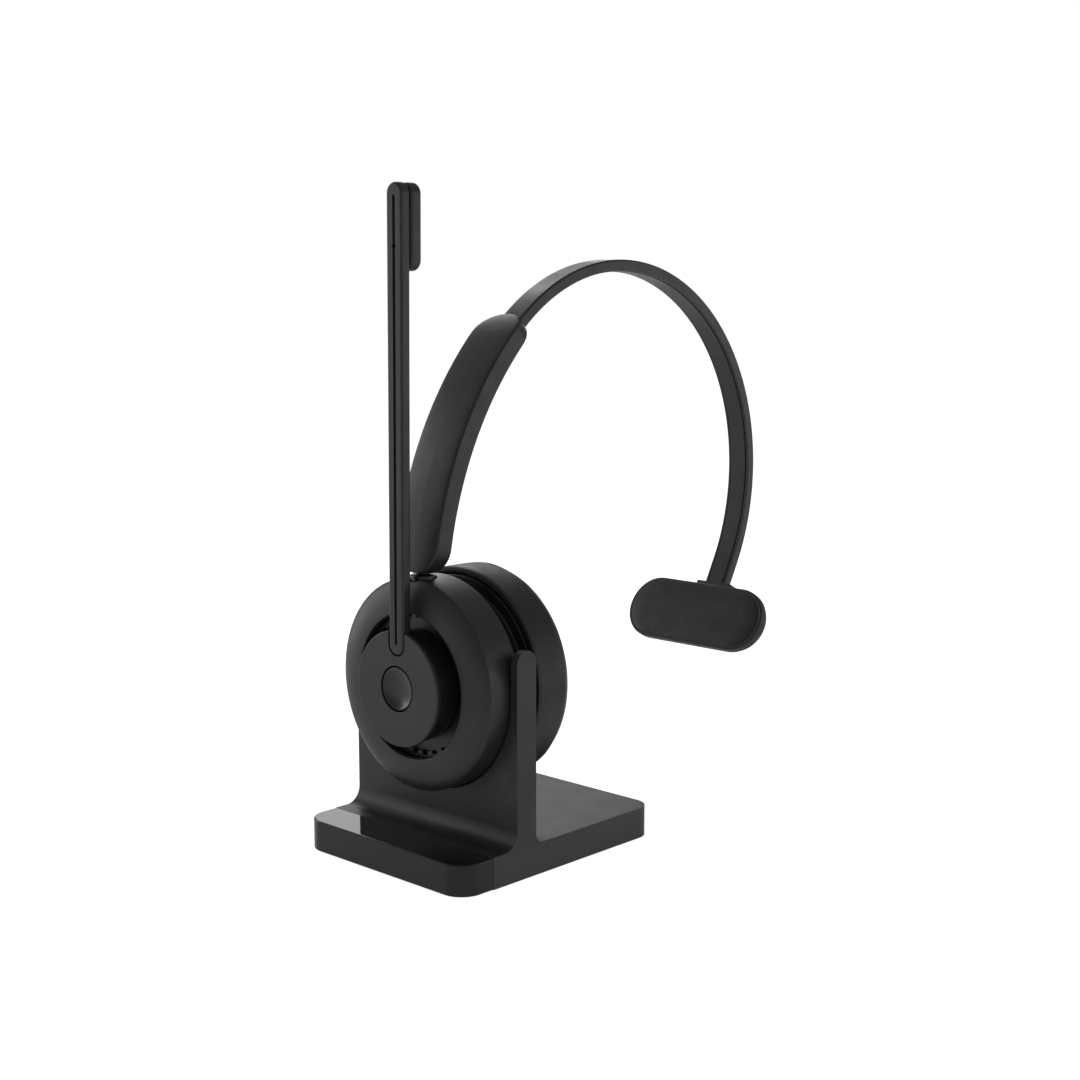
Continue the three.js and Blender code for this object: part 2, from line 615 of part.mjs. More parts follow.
function armHalf(inner) {
  const keepInner = ringSlice(ARM_CENTRE, 100, ARM_SPLIT_R - GAP / 2, 2, 3.14);
  const keepOuter = ringSlice(ARM_CENTRE, ARM_SPLIT_R + GAP / 2, 118, 2, 3.14);
  const keep = solid(alongX(inner ? keepInner : keepOuter, 30, 0, { curveSegments: 30 }));
  const ends = ringSlice(ARM_CENTRE, 100, 118, MOUTH_ANGLE, ARM_FOOT_ANGLE);
  const whole = crownedArm(ARM_INNER_R, ARM_OUTER_R);
  let half = whole.intersect(solid(alongX(ends, 30, 0, { curveSegments: 4 }))).intersect(keep);
  const track = ringSlice(ARM_CENTRE, STRIP_ARM_R - halfStrip - GAP, ARM_SPLIT_R + 0.6, 2, 2.93);
  half = cut(half, solid(alongX(track, STRIP_WIDTH + 1, 0, { curveSegments: 14 })), tangHole);
  for (const [x, degrees] of ARM_SCREWS) {
    const head = radialRod(x, degrees, 2, 100, 107.6);
    half = cut(half, solid(head), solid(radialRod(x, degrees, 1.1, 100, 111)));
  }
  return surface(half);
}

add(arm, "arm_outer_shell", armHalf(false), matte);
add(arm, "arm_inner_shell", armHalf(true), matte);
ARM_SCREWS.forEach(([x, degrees], i) => {
  const mesh = add(arm, `arm_screw_${i + 1}`, screw(1.7, 0.8, 0.8, 4.2), steel);
  const angle = THREE.MathUtils.degToRad(degrees);
  const seat = ARM_CENTRE.clone().addScaledVector(direction(angle), 106.5);
  mesh.rotation.x = angle;
  mesh.position.set(x, seat.x, seat.y);
});

// Collar and shaft of the swivel, with the crossbar that keeps it in the housing.
function neckPivot() {
  const profile = [[0, 79.3], [2.8, 79.3], [3.65, 80.4], [3.65, 83.9], [1.75, 83.9], [1.75, 88.4],
    [0, 88.4]];
  const shaft = turned(profile, 32).rotateX(Math.PI / 2).translate(0, NECK_Y, 0);
  const crossbar = box(-4.6, 4.6, NECK_Y - 1.6, NECK_Y + 1.6, 78.1, 79.5);
  return surface(solid(shaft).add(solid(crossbar)));
}

add(arm, "neck_pivot", neckPivot(), satin);

const band = new THREE.Group();
part.add(band);
const bandOptions = { curveSegments: 28 };
const layerLow = bandShape(BAND_INNER_R, STRIP_BAND_R - halfStrip - GAP, BAND_TAIL);
const layerHigh = bandShape(STRIP_BAND_R + halfStrip + GAP, BAND_OUTER_R, BAND_TAIL);
add(band, "headband_inner_layer", alongX(layerLow, BAND_WIDTH, 0, bandOptions), matte);
add(band, "headband_outer_layer", alongX(layerHigh, BAND_WIDTH, 0, bandOptions), matte);

function sliderStrip() {
  const [low, high] = [STRIP_ARM_R - halfStrip, STRIP_ARM_R + halfStrip];
  const inArm = ringSlice(ARM_CENTRE, low, high, MOUTH_ANGLE - 0.01, STRIP_DEPTH_ANGLE);
  const inBand = bandShape(STRIP_BAND_R - halfStrip, STRIP_BAND_R + halfStrip, BAND_TAIL + 4);
  const slide = solid(alongX(inArm, STRIP_WIDTH, 0, { curveSegments: 10 }));
  return surface(slide.add(solid(alongX(inBand, STRIP_WIDTH, 0, bandOptions))));
}

add(band, "slider_strip", sliderStrip(), steel);

// Temple pad frame: local -Y faces the head, local Z runs up the pad.
const tilt = -BAND_END_ANGLE;
const padFrame = new THREE.Group();
padFrame.rotation.x = -tilt;
padFrame.position.set(0, PAD_CENTRE.x, PAD_CENTRE.y);
part.add(padFrame);
const PIVOT_Y = 7.5;                // headband's middle behind the pad's face
const PIVOT_Z = 5;
const PIN_BORE_R = 1.55;
const BRACKET_HALF = 4.8;
const BRACKET_TOP = 13.2;
const COLLAR_HALF = 7.2;
const COLLAR_LOW = 8.6;             // above the ears of the back plate at full tilt

function bracket() {
  const knuckle = solid(box(-BRACKET_HALF, BRACKET_HALF, 6, 9.8, 2, BRACKET_TOP));
  const collar = solid(box(-COLLAR_HALF, COLLAR_HALF, 6, 9.8, COLLAR_LOW, BRACKET_TOP));
  const slotHalf = STRIP_WIDTH / 2 + GAP;
  const slot = box(-slotHalf, slotHalf, 6.6, 8.2, COLLAR_LOW, BRACKET_TOP + 1);
  const bore = rodX(PIVOT_Y, PIVOT_Z, PIN_BORE_R, -9, 9);
  return surface(cut(knuckle.add(collar), solid(slot), solid(bore)));
}

function backPlate() {
  const plateY = PAD_REAR_Y + GAP;
  const inset = 0.9;
  const outline = stadiumAcross(PAD_HALF_LENGTH - inset, PAD_HALF_HEIGHT - inset);
  let plate = solid(alongY(outline, plateY, plateY + PAD_PLATE, 10));
  for (const side of [-1, 1]) {
    const [near, far] = [BRACKET_HALF + 0.4, BRACKET_HALF + 2.4].map((x) => side * x);
    const ear = box(Math.min(near, far), Math.max(near, far), plateY + 0.5, 9.6, 2.4, 7.6);
    plate = plate.add(solid(ear));
  }
  return surface(plate.subtract(solid(rodX(PIVOT_Y, PIVOT_Z, 1.5, -9, 9))));
}

add(padFrame, "temple_bracket", bracket(), matte);
add(padFrame, "temple_back_plate", backPlate(), matte);
const padOutline = stadiumAcross(PAD_HALF_LENGTH, PAD_HALF_HEIGHT);
add(padFrame, "temple_pad", alongY(padOutline, PAD_FACE_Y, PAD_REAR_Y, 12), soft);
add(padFrame, "temple_pin", rodX(PIVOT_Y, PIVOT_Z, 1.2, -7, 7), steel);

export default part;
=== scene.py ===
"""Office headset in its charging dock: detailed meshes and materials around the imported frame.

Meshes are drawn in millimetres and turned into metres by made(). +X runs across the dock, +Y
from the microphone side towards the ear side, +Z up, as in the frame."""

import json
import math

import bmesh
import bpy
from mathutils import Matrix, Vector, noise


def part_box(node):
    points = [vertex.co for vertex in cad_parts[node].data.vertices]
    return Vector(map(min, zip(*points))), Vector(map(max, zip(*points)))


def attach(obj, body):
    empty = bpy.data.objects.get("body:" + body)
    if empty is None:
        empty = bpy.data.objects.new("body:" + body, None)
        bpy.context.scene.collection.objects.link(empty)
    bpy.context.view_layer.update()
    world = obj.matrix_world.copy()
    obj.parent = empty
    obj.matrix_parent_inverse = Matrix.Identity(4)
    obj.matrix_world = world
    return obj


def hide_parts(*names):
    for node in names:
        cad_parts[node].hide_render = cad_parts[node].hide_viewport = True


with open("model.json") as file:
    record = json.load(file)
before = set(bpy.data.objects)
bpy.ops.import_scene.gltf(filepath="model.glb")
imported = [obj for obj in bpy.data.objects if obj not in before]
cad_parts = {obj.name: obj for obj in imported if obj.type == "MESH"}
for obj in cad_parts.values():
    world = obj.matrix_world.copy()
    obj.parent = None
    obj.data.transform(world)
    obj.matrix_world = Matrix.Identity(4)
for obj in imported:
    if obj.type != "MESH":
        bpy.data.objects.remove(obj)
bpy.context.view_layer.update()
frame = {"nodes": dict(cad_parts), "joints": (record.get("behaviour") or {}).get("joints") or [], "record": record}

MM = 0.001
FINE = 0.3  # air between pieces that touch
TURN_STEPS = 128

# ---------- sizes read from the frame ----------


def node_box(name):
    """Lowest and highest corner of a CAD node, in millimetres."""
    low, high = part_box(name)
    return low / MM, high / MM


PIVOT = {j["name"]: Vector(j["pos_m"]) / MM for j in frame["joints"] if "pos_m" in j}
CUP_Z = PIVOT["boom_swing"].z
NECK_Y = PIVOT["neck_swivel"].y
ARM_CENTRE = PIVOT["headband_extend"].yz

# ---------- driving dimensions that a box can't give ----------

HALF_PLATE = 3.8
FRONT_FILLET = 5.0
REAR_FILLET = 3.0
REAR_CORNER = 6.0
FRONT_CORNER = 7.0
WALL = 1.6
SEAM_GAP = 0.1  # what shows between the dock's body and its gloss nose
SEAM_OVERLAP = 3.0  # both are drawn this much longer, then trimmed at the seam
CRADLE_R = 31.17
LIP_R = 27.3
LIP_Y = 0.5

HOLE_R = 21.05
CREASE_R = 30.6
CREASE_Y = -10.8
NECK_R = 26.5
CAP_R = 16.7
BUTTON_R = 6.28

BOOM_HALF = 3.1
BOOM_FOOT = 9.7
BOOM_TIP = 140.0
BOOM_LEAN = math.radians(0.6)
GROOVE_HALF = 0.5
MIC_PORT = 122.9
CAPSULE_BOTTOM = 116.2

ARM_HALF_WIDTH = 8.55
ARM_SPLIT_R = 109.35
ARM_HEIGHT = 3.3  # from the split to either face
ARM_END_R = 8.0
ARM_FOOT = math.radians(174.1)
MOUTH = math.radians(131.2)
STRIP_ARM_R = 107.7
STRIP_BAND_R = 67.3
STRIP_END = math.radians(164)
STRIP_HALF = 2.9
BAND_HALF = 4.1
BAND_INNER_R = 65.65
BAND_OUTER_R = 69.3
BAND_END = math.radians(-28.6)
BAND_TAIL = 12.0

PAD_CENTRE = Vector((0, 116.3, 55.5))
PAD_HALF_LENGTH = 27.6
PAD_HALF_HEIGHT = 10.8
PAD_FACE = -0.6
PAD_REAR = 3.1

# ---------- outlines ----------


def softened(corners, steps=5, closed=True):
    """Points of a polyline of (a, b, radius) corners, each turned into an arc of its radius."""
    points = []
    last = len(corners) - 1
    for i, (a, b, radius) in enumerate(corners):
        here = Vector((a, b))
        if radius <= 0 or (not closed and i in (0, last)):
            points.append(here)
            continue
        back = Vector(corners[i - 1][:2]) - here
        ahead = Vector(corners[(i + 1) % len(corners)][:2]) - here
        half_turn = back.angle(ahead) / 2
        reach = min(radius / math.tan(half_turn), 0.49 * back.length, 0.49 * ahead.length)
        arc_r = reach * math.tan(half_turn)
        back.normalize()
        ahead.normalize()
        centre = here + (back + ahead).normalized() * arc_r / math.sin(half_turn)
        spoke = here + back * reach - centre
        far = here + ahead * reach - centre
        sweep = math.atan2(spoke.x * far.y - spoke.y * far.x, spoke.dot(far))
        for k in range(steps + 1):
            cos, sin = math.cos(sweep * k / steps), math.sin(sweep * k / steps)
            points.append(centre + Vector((spoke.x * cos - spoke.y * sin, spoke.x * sin + spoke.y * cos)))
    return points


def arc(centre, radius, start, end, steps):
    """Points from one angle to another, both ends included."""
    angles = [start + (end - start) * k / steps for k in range(steps + 1)]
    middle = Vector(centre)
    return [middle + radius * Vector((math.cos(a), math.sin(a))) for a in angles]


def stadium(half_long, radius, steps=24, middle=0.0, upright=False):
    """Slot outline with half-round ends, lying along its first axis or standing on its second."""
    quarter = math.pi / 2
    reach = half_long - radius
    points = arc((reach, 0), radius, -quarter, quarter, steps)
    points += arc((-reach, 0), radius, quarter, 3 * quarter, steps)
    if upright:
        return [Vector((-p.y, p.x + middle)) for p in points]
    return [Vector((p.x + middle, p.y)) for p in points]


def rounded_rectangle(half_a, half_b, radius, side_steps, corner_steps=8):
    """Outline with a fixed number of points, so that rings of different sizes can be joined."""
    points = []
    quarter = math.pi / 2
    corners = [(1, 1), (-1, 1), (-1, -1), (1, -1)]
    for i, (sa, sb) in enumerate(corners):
        middle = (sa * (half_a - radius), sb * (half_b - radius))
        points += arc(middle, radius, i * quarter, (i + 1) * quarter, corner_steps)
        following = corners[(i + 1) % 4]
        start = points[-1]
        turned = Vector((math.cos((i + 1) * quarter), math.sin((i + 1) * quarter)))
        end = Vector((following[0] * (half_a - radius), following[1] * (half_b - radius)))
        end += turned * radius
        points += [start.lerp(end, k / side_steps) for k in range(1, side_steps)]
    return points


# ---------- meshes ----------


def made(name, bm):
    """The finished object of a mesh drawn in millimetres."""
    bmesh.ops.scale(bm, vec=(MM, MM, MM), verts=bm.verts)
    bmesh.ops.recalc_face_normals(bm, faces=bm.faces)
    mesh = bpy.data.meshes.new(name)
    bm.to_mesh(mesh)
    bm.free()
    obj = bpy.data.objects.new(name, mesh)
    bpy.context.scene.collection.objects.link(obj)
    return obj


def loft(rings, closed=False, capped=True):
    """Skin over rings that have the same number of points."""
    bm = bmesh.new()
    layers = [[bm.verts.new(p) for p in ring] for ring in rings]
    pairs = list(zip(layers, layers[1:]))
    if closed:
        pairs.append((layers[-1], layers[0]))
    for low, high in pairs:
        for i in range(len(low)):
            j = (i + 1) % len(low)
            bm.faces.new((low[i], low[j], high[j], high[i]))
    if capped and not closed:
        bm.faces.new(list(reversed(layers[0])))
        bm.faces.new(layers[-1])
    return bm


def close_ends(bm, count, fold):
    """Closes the first and the last ring of a skin with strips that join mirrored points. Point
    number fold of a ring lies on the mirror line."""
    bm.verts.ensure_lookup_table()
    for start in (0, len(bm.verts) - count):
        ring = [bm.verts[start + i] for i in range(count)]
        for k in range(count // 2):
            a, b = ring[(fold + k) % count], ring[(fold + k + 1) % count]
            c, d = ring[(fold - k - 1) % count], ring[(fold - k) % count]
            corners = list(dict.fromkeys((a, b, c, d)))
            if len(corners) > 2:
                bm.faces.new(corners)
    return bm


def in_space(axis, p, along):
    """Outline point p at a distance along the axis: X takes (y, z), Y takes (x, z), Z takes (x, y)."""
    if axis == "X":
        return (along, p[0], p[1])
    if axis == "Y":
        return (p[0], along, p[1])
    return (p[0], p[1], along)


def prism(name, outline, axis, low, high, move=None):
    bm = loft([[in_space(axis, p, level) for p in outline] for level in (low, high)])
    if move:
        bm.transform(move)
    return made(name, bm)


def block(name, low, high):
    outline = [(low[0], low[1]), (high[0], low[1]), (high[0], high[1]), (low[0], high[1])]
    return prism(name, outline, "Z", low[2], high[2])


def rod(name, axis, centre, radius, low, high, steps=48, move=None):
    outline = arc(centre, radius, 0, 2 * math.pi * (steps - 1) / steps, steps - 1)
    return prism(name, outline, axis, low, high, move)


def lathe(profile, centre=(0, CUP_Z), axis="Y", steps=TURN_STEPS):
    """Profile of (radius, height) points turned about an axis. It closes on itself or on the axis."""
    bm = bmesh.new()
    columns = []
    for radius, height in profile:
        if radius < 1e-6:
            columns.append([bm.verts.new(in_space(axis, centre, height))])
            continue
        column = []
        for i in range(steps):
            angle = 2 * math.pi * i / steps
            p = (centre[0] + radius * math.sin(angle), centre[1] + radius * math.cos(angle))
            column.append(bm.verts.new(in_space(axis, p, height)))
        columns.append(column)
    closed = all(radius > 1e-6 for radius, _ in profile)
    for k in range(len(columns) if closed else len(columns) - 1):
        a, b = columns[k], columns[(k + 1) % len(columns)]
        for i in range(steps):
            j = (i + 1) % steps
            corners = [a[i % len(a)], a[j % len(a)], b[j % len(b)], b[i % len(b)]]
            bm.faces.new(list(dict.fromkeys(corners)))
    return bm


def settle(obj):
    """Applies the object's modifiers to its mesh."""
    graph = bpy.context.evaluated_depsgraph_get()
    mesh = bpy.data.meshes.new_from_object(obj.evaluated_get(graph))
    obj.modifiers.clear()
    obj.data = mesh
    return obj


def carve(obj, *tools, mode="DIFFERENCE"):
    for tool in tools:
        modifier = obj.modifiers.new("carve", "BOOLEAN")
        modifier.operation = mode
        modifier.solver = "EXACT"
        modifier.object = tool
    settle(obj)
    for tool in tools:
        bpy.data.objects.remove(tool)
    return obj


def ease_edges(obj, width, steps=3, over=35):
    """Rounds every edge that turns by more than that many degrees."""
    modifier = obj.modifiers.new("edges", "BEVEL")
    modifier.limit_method = "ANGLE"
    modifier.angle_limit = math.radians(over)
    modifier.width = width * MM
    modifier.segments = steps
    modifier.miter_outer = "MITER_ARC"
    return settle(obj)


def smooth(obj, over=32):
    obj.data.shade_smooth()
    obj.data.set_sharp_from_angle(angle=math.radians(over))
    modifier = obj.modifiers.new("weighted", "WEIGHTED_NORMAL")
    modifier.keep_sharp = True
    return settle(obj)


# ---------- materials ----------


class Shader:
    """A node material with a Principled shader, and short ways to add to it."""

    def __init__(self, name, roughness, **inputs):
        self.material = bpy.data.materials.new(name)
        self.material.use_nodes = True
        self.nodes = self.material.node_tree.nodes
        self.links = self.material.node_tree.links
        self.principled = self.nodes["Principled BSDF"]
        self.roughness = roughness
        for key, value in inputs.items():
            self.principled.inputs[key.replace("_", " ")].default_value = value
        self.place = self.nodes.new("ShaderNodeTexCoord").outputs["Object"]

    def join(self, source, target):
        self.links.new(source, target)

    def noise(self, size, detail=3.0, stretch=None):
        """Noise whose features are that many millimetres across."""
        node = self.nodes.new("ShaderNodeTexNoise")
        node.inputs["Scale"].default_value = 1 / (size * MM)
        node.inputs["Detail"].default_value = detail
        self.join(self.stretched(stretch), node.inputs["Vector"])
        return node.outputs["Fac"]

    def stretched(self, stretch):
        if stretch is None:
            return self.place
        node = self.nodes.new("ShaderNodeMapping")
        node.inputs["Scale"].default_value = stretch
        self.join(self.place, node.inputs["Vector"])
        return node.outputs["Vector"]

    def cells(self, size, feature="F1"):
        node = self.nodes.new("ShaderNodeTexVoronoi")
        node.feature = feature
        node.inputs["Scale"].default_value = 1 / (size * MM)
        self.join(self.place, node.inputs["Vector"])
        return node.outputs["Distance"]

    def waves(self, axis, pitch):
        node = self.nodes.new("ShaderNodeTexWave")
        node.bands_direction = axis
        node.inputs["Scale"].default_value = 2 * math.pi / (20 * pitch * MM)
        node.inputs["Distortion"].default_value = 0.4
        self.join(self.place, node.inputs["Vector"])
        return node.outputs["Fac"]

    def ranged(self, source, low, high, from_low=0.3, from_high=0.7):
        node = self.nodes.new("ShaderNodeMapRange")
        for socket, value in zip(range(1, 5), (from_low, from_high, low, high)):
            node.inputs[socket].default_value = value
        self.join(source, node.inputs["Value"])
        return node.outputs["Result"]

    def math(self, operation, a, b):
        node = self.nodes.new("ShaderNodeMath")
        node.operation = operation
        for socket, value in enumerate((a, b)):
            if isinstance(value, (int, float)):
                node.inputs[socket].default_value = value
            else:
                self.join(value, node.inputs[socket])
        return node.outputs[0]

    def vary_roughness(self, source, spread):
        span = self.ranged(source, self.roughness - spread, self.roughness + spread)
        self.join(span, self.principled.inputs["Roughness"])

    def bump(self, source, depth, strength=1.0):
        node = self.nodes.new("ShaderNodeBump")
        node.inputs["Strength"].default_value = strength
        node.inputs["Distance"].default_value = depth * MM
        self.join(source, node.inputs["Height"])
        self.join(node.outputs["Normal"], self.principled.inputs["Normal"])

    def colour(self, base, spread, source, wear=0.0):
        """Base colour that drifts with a pattern and lightens along worn edges."""
        ramp = self.nodes.new("ShaderNodeValToRGB")
        ramp.color_ramp.elements[0].position = 0.3
        ramp.color_ramp.elements[1].position = 0.7
        ramp.color_ramp.elements[0].color = [c * (1 - spread) for c in base] + [1]
        ramp.color_ramp.elements[1].color = [c * (1 + spread) for c in base] + [1]
        self.join(source, ramp.inputs["Fac"])
        result = ramp.outputs["Color"]
        if wear:
            edges = self.nodes.new("ShaderNodeNewGeometry").outputs["Pointiness"]
            amount = self.ranged(edges, 0.0, 1.0, 0.53, 0.62)
            amount = self.math("MULTIPLY", amount, self.noise(1.5, 4))
            mix = self.nodes.new("ShaderNodeMix")
            mix.data_type = "RGBA"
            self.join(amount, mix.inputs[0])
            self.join(result, mix.inputs[6])
            mix.inputs[7].default_value = [min(1, c * (1 + wear)) for c in base] + [1]
            result = mix.outputs[2]
        self.join(result, self.principled.inputs["Base Color"])


SLOTS = {m["slot"]: m for m in frame["record"]["materials"]}


def base_of(slot):
    return list(SLOTS[slot]["base_color"])[:3]


def moulded(slot, roughness, grain, depth, wear=0.8, drift=0.06, **inputs):
    """Moulded plastic: a fine eroded grain, a slow drift in gloss and lighter worn edges."""
    shader = Shader(slot, roughness, **inputs)
    shader.vary_roughness(shader.noise(9, 2), drift)
    shader.colour(base_of(slot), 0.12, shader.noise(14, 2), wear)
    shader.bump(shader.noise(grain, 2), depth)
    return shader.material


def polished(slot):
    """Polished black with the faint waviness and dust-fine scratches of a moulded mirror."""
    shader = Shader(slot, 0.05, Specular_IOR_Level=0.45)
    shader.vary_roughness(shader.noise(4, 3, (1, 6, 1)), 0.025)
    shader.colour(base_of(slot), 0.1, shader.noise(12, 2), 0.3)
    shader.bump(shader.noise(22, 0), 0.004)
    return shader.material


def leather(slot, size=0.9):
    """Soft leatherette: pebbled cells with creases between them."""
    shader = Shader(slot, 0.5, Sheen_Weight=0.06, Sheen_Roughness=0.4)
    pebbles = shader.cells(size, "SMOOTH_F1")
    fine = shader.noise(0.3, 3)
    height = shader.math("ADD", shader.math("MULTIPLY", pebbles, -0.8), fine)
    shader.vary_roughness(shader.noise(5, 3), 0.06)
    shader.colour(base_of(slot), 0.2, pebbles, 0.3)
    shader.bump(height, 0.03)
    return shader.material


def woven(slot, pitch=0.55):
    """Open acoustic cloth: threads that cross, with dark holes between them."""
    shader = Shader(slot, 0.85, Sheen_Weight=0.2)
    across = shader.waves("X", pitch)
    up = shader.waves("Z", pitch)
    threads = shader.math("MAXIMUM", across, up)
    shader.vary_roughness(shader.noise(3, 2), 0.05)
    shader.colour(base_of(slot), 0.6, threads)
    shader.bump(threads, 0.08)
    return shader.material


def metal(slot, roughness, stretch=None):
    """Rolled or plated metal with fine drawn lines."""
    shader = Shader(slot, roughness, Metallic=1.0)
    lines = shader.noise(0.5, 4, stretch)
    shader.vary_roughness(lines, 0.08)
    shader.colour(base_of(slot), 0.08, shader.noise(3, 3), 0.2)
    shader.bump(lines, 0.004)
    return shader.material


def board(slot):
    """Solder mask over raised copper tracks."""
    shader = Shader(slot, 0.35)
    tracks = shader.cells(2.2, "DISTANCE_TO_EDGE")
    raised = shader.ranged(tracks, 1.0, 0.0, 0.06, 0.1)
    shader.vary_roughness(shader.noise(2, 3), 0.05)
    shader.colour(base_of(slot), 0.25, raised)
    shader.bump(raised, 0.03)
    return shader.material


MATERIALS = {
    "dock_matte": moulded("dock_matte", 0.45, 0.4, 0.03, drift=0.025),
    "dock_gloss": polished("dock_gloss"),
    "shell_matte": moulded("shell_matte", 0.4, 0.3, 0.006),
    "boom_matte": moulded("boom_matte", 0.42, 0.3, 0.006),
    "satin_plastic": moulded("satin_plastic", 0.32, 0.3, 0.004),
    "key_face": moulded("satin_plastic", 0.2, 0.3, 0.002),
    "band_plastic": moulded("band_plastic", 0.38, 0.35, 0.004),
    "cushion": leather("cushion"),
    "scrim": woven("scrim"),
    "foot_rubber": moulded("foot_rubber", 0.75, 0.5, 0.03, wear=0.2),
    "spring_steel": metal("spring_steel", 0.32, (8, 1, 1)),
    "steel": metal("steel", 0.35),
    "gold_contact": metal("gold_contact", 0.22),
    "circuit_board": board("circuit_board"),
    "cell_wrap": moulded("cell_wrap", 0.3, 2.5, 0.05, wear=0.1),
    "diaphragm": moulded("diaphragm", 0.3, 1.2, 0.02, wear=0.1),
}


def dress(obj, slot):
    obj.data.materials.clear()
    obj.data.materials.append(MATERIALS[slot])


def settle_in(obj, body, slot, *nodes):
    """Gives a finished piece its material and its body, and hides the CAD nodes that it stands for."""
    dress(obj, slot)
    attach(obj, body)
    if nodes:
        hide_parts(*nodes)
    return obj


def carried_over():
    """Better materials on the CAD nodes that stay, by the slots that their own names say."""
    by_node = {
        "hub_mount": "satin_plastic",
        "speaker_basket": "satin_plastic",
        "speaker_diaphragm": "diaphragm",
        "battery": "cell_wrap",
        "main_board": "circuit_board",
        "volume_switch_board": "circuit_board",
        "dock_circuit_board": "circuit_board",
        "dock_contact_block": "satin_plastic",
    }
    for name, obj in frame["nodes"].items():
        slot = by_node.get(name, "steel")
        if not obj.hide_render:
            dress(obj, slot)
            obj.data.shade_smooth()
            obj.data.set_sharp_from_angle(angle=math.radians(25))


# ---------- charging dock ----------


def cradle(radius, low, high):
    """U-shaped opening about the cup's axis, open at the top."""
    outline = arc((0, CUP_Z), radius, math.pi, 2 * math.pi, 96)
    top = CUP_Z + CRADLE_R
    outline += [Vector((radius, top)), Vector((-radius, top))]
    return prism("cradle", outline, "Y", low, high)


def dock_outline(low, high, seam):
    """Side view of the dock's body: foot, fillets and upright plate with a full-round top."""
    cover_top = node_box("dock_front_cover")[1].z
    quarter = math.pi / 2
    rear = HALF_PLATE + REAR_FILLET
    front = -HALF_PLATE - FRONT_FILLET
    outline = [Vector((seam, low.z)), Vector((high.y, low.z)), Vector((high.y, cover_top))]
    outline += arc((rear, cover_top + REAR_FILLET), REAR_FILLET, 3 * quarter, 2 * quarter, 12)
    outline += arc((0, high.z - HALF_PLATE), HALF_PLATE, 0, math.pi, 32)
    outline += arc((front, cover_top + FRONT_FILLET), FRONT_FILLET, 0, -quarter, 16)
    outline.append(Vector((seam, cover_top)))
    return outline


def footprint(half, front, rear, front_r, rear_r, steps=16):
    corners = [(half, rear, rear_r), (-half, rear, rear_r), (-half, front, front_r), (half, front, front_r)]
    return softened(corners, steps)


def dock_body():
    low, high = node_box("dock_body")
    half = high.x
    body_front = node_box("dock_front_cover")[1].y + FINE
    seam = body_front - SEAM_OVERLAP
    top = high.z + 1
    body = prism("dock_shell", dock_outline(low, high, seam), "X", -half, half)
    plan = prism("plan", footprint(half, seam - 9, high.y, 0, REAR_CORNER), "Z", -1, top)
    carve(body, plan, mode="INTERSECT")
    cavity_top = node_box("dock_front_cover")[1].z - 2
    inside = half - WALL - 0.4
    shaft_top = CUP_Z - CRADLE_R - WALL
    tools = [
        cradle(CRADLE_R, -HALF_PLATE - 2, LIP_Y),
        cradle(LIP_R, LIP_Y - 0.1, HALF_PLATE + 2),
        block("relief", (-CRADLE_R, LIP_Y - 0.2, CUP_Z - 6), (CRADLE_R, HALF_PLATE + 2, top)),
        block("hollow", (-inside, seam + WALL, -1), (inside, high.y - WALL, cavity_top)),
        block("mouth", (-inside, seam - 2, -1), (inside, 0, 2.7)),
        block("contacts", (-8, -2.2, cavity_top - 1), (8, 2.2, shaft_top)),
        prism("usb", stadium(5.0, 1.9, 12, 0), "Y", high.y - WALL - 1, high.y + 1,
              Matrix.Translation((0, 0, 5.5))),
    ]
    for pin in ("dock_charge_pin_1", "dock_charge_pin_2"):
        pin_low, pin_high = node_box(pin)
        middle = (pin_low + pin_high) / 2
        tools.append(rod("well", "Z", middle.xy, 1.1, cavity_top, CUP_Z - NECK_R, 32))
    carve(body, *tools)
    ease_edges(body, 0.4)
    trim_at = body_front - (FINE - SEAM_GAP) / 2
    carve(body, block("trim", (-half - 1, seam - 1, -1), (half + 1, trim_at, low.z + 14)))
    ease_edges(body, 0.08, 2, 60)
    settle_in(smooth(body), "dock", "dock_matte", "dock_body")


def front_cover():
    low, high = node_box("dock_front_cover")
    half = high.x
    rear = high.y + SEAM_OVERLAP
    outer = softened([(half, rear, 0), (-half, rear, 0), (-half, low.y, FRONT_CORNER),
                      (half, low.y, FRONT_CORNER)], 24)
    cover = prism("dock_nose", outer, "Z", low.z, high.z)
    inner = footprint(half - WALL, low.y + WALL, rear + 5, FRONT_CORNER - WALL, 1)
    carve(cover, prism("inside", inner, "Z", -1, high.z - WALL))
    ease_edges(cover, 0.45, 4)
    trim_at = high.y + (FINE - SEAM_GAP) / 2
    carve(cover, block("trim", (-half - 1, trim_at, -1), (half + 1, rear + 1, high.z + 1)))
    ease_edges(cover, 0.08, 2, 60)
    settle_in(smooth(cover), "dock", "dock_gloss", "dock_front_cover")


def dock_underside():
    """Bottom plate and the ribbed anti-slip pad that the dock stands on."""
    low, high = node_box("dock_bottom_plate")
    plate = prism("dock_base_plate", footprint(high.x, low.y, high.y, 5, 3.5), "Z", low.z, high.z)
    ease_edges(plate, 0.25)
    settle_in(smooth(plate), "dock", "satin_plastic", "dock_bottom_plate")
    low, high = node_box("dock_anti_slip_pad")
    pad = prism("dock_foot_pad", footprint(high.x, low.y, high.y, 4, 3), "Z", low.z, high.z)
    ribs = []
    pitch = 6.0
    count = int((high.y - low.y - 8) / pitch)
    for i in range(count + 1):
        y = low.y + 5 + i * pitch
        reach = high.x - 5
        outline = [(x, p + y) for x, p in stadium(reach, 0.8, 6)]
        ribs.append(prism("rib", outline, "Z", -1, low.z + 0.25))
    carve(pad, *ribs)
    settle_in(smooth(pad), "dock", "foot_rubber", "dock_anti_slip_pad")


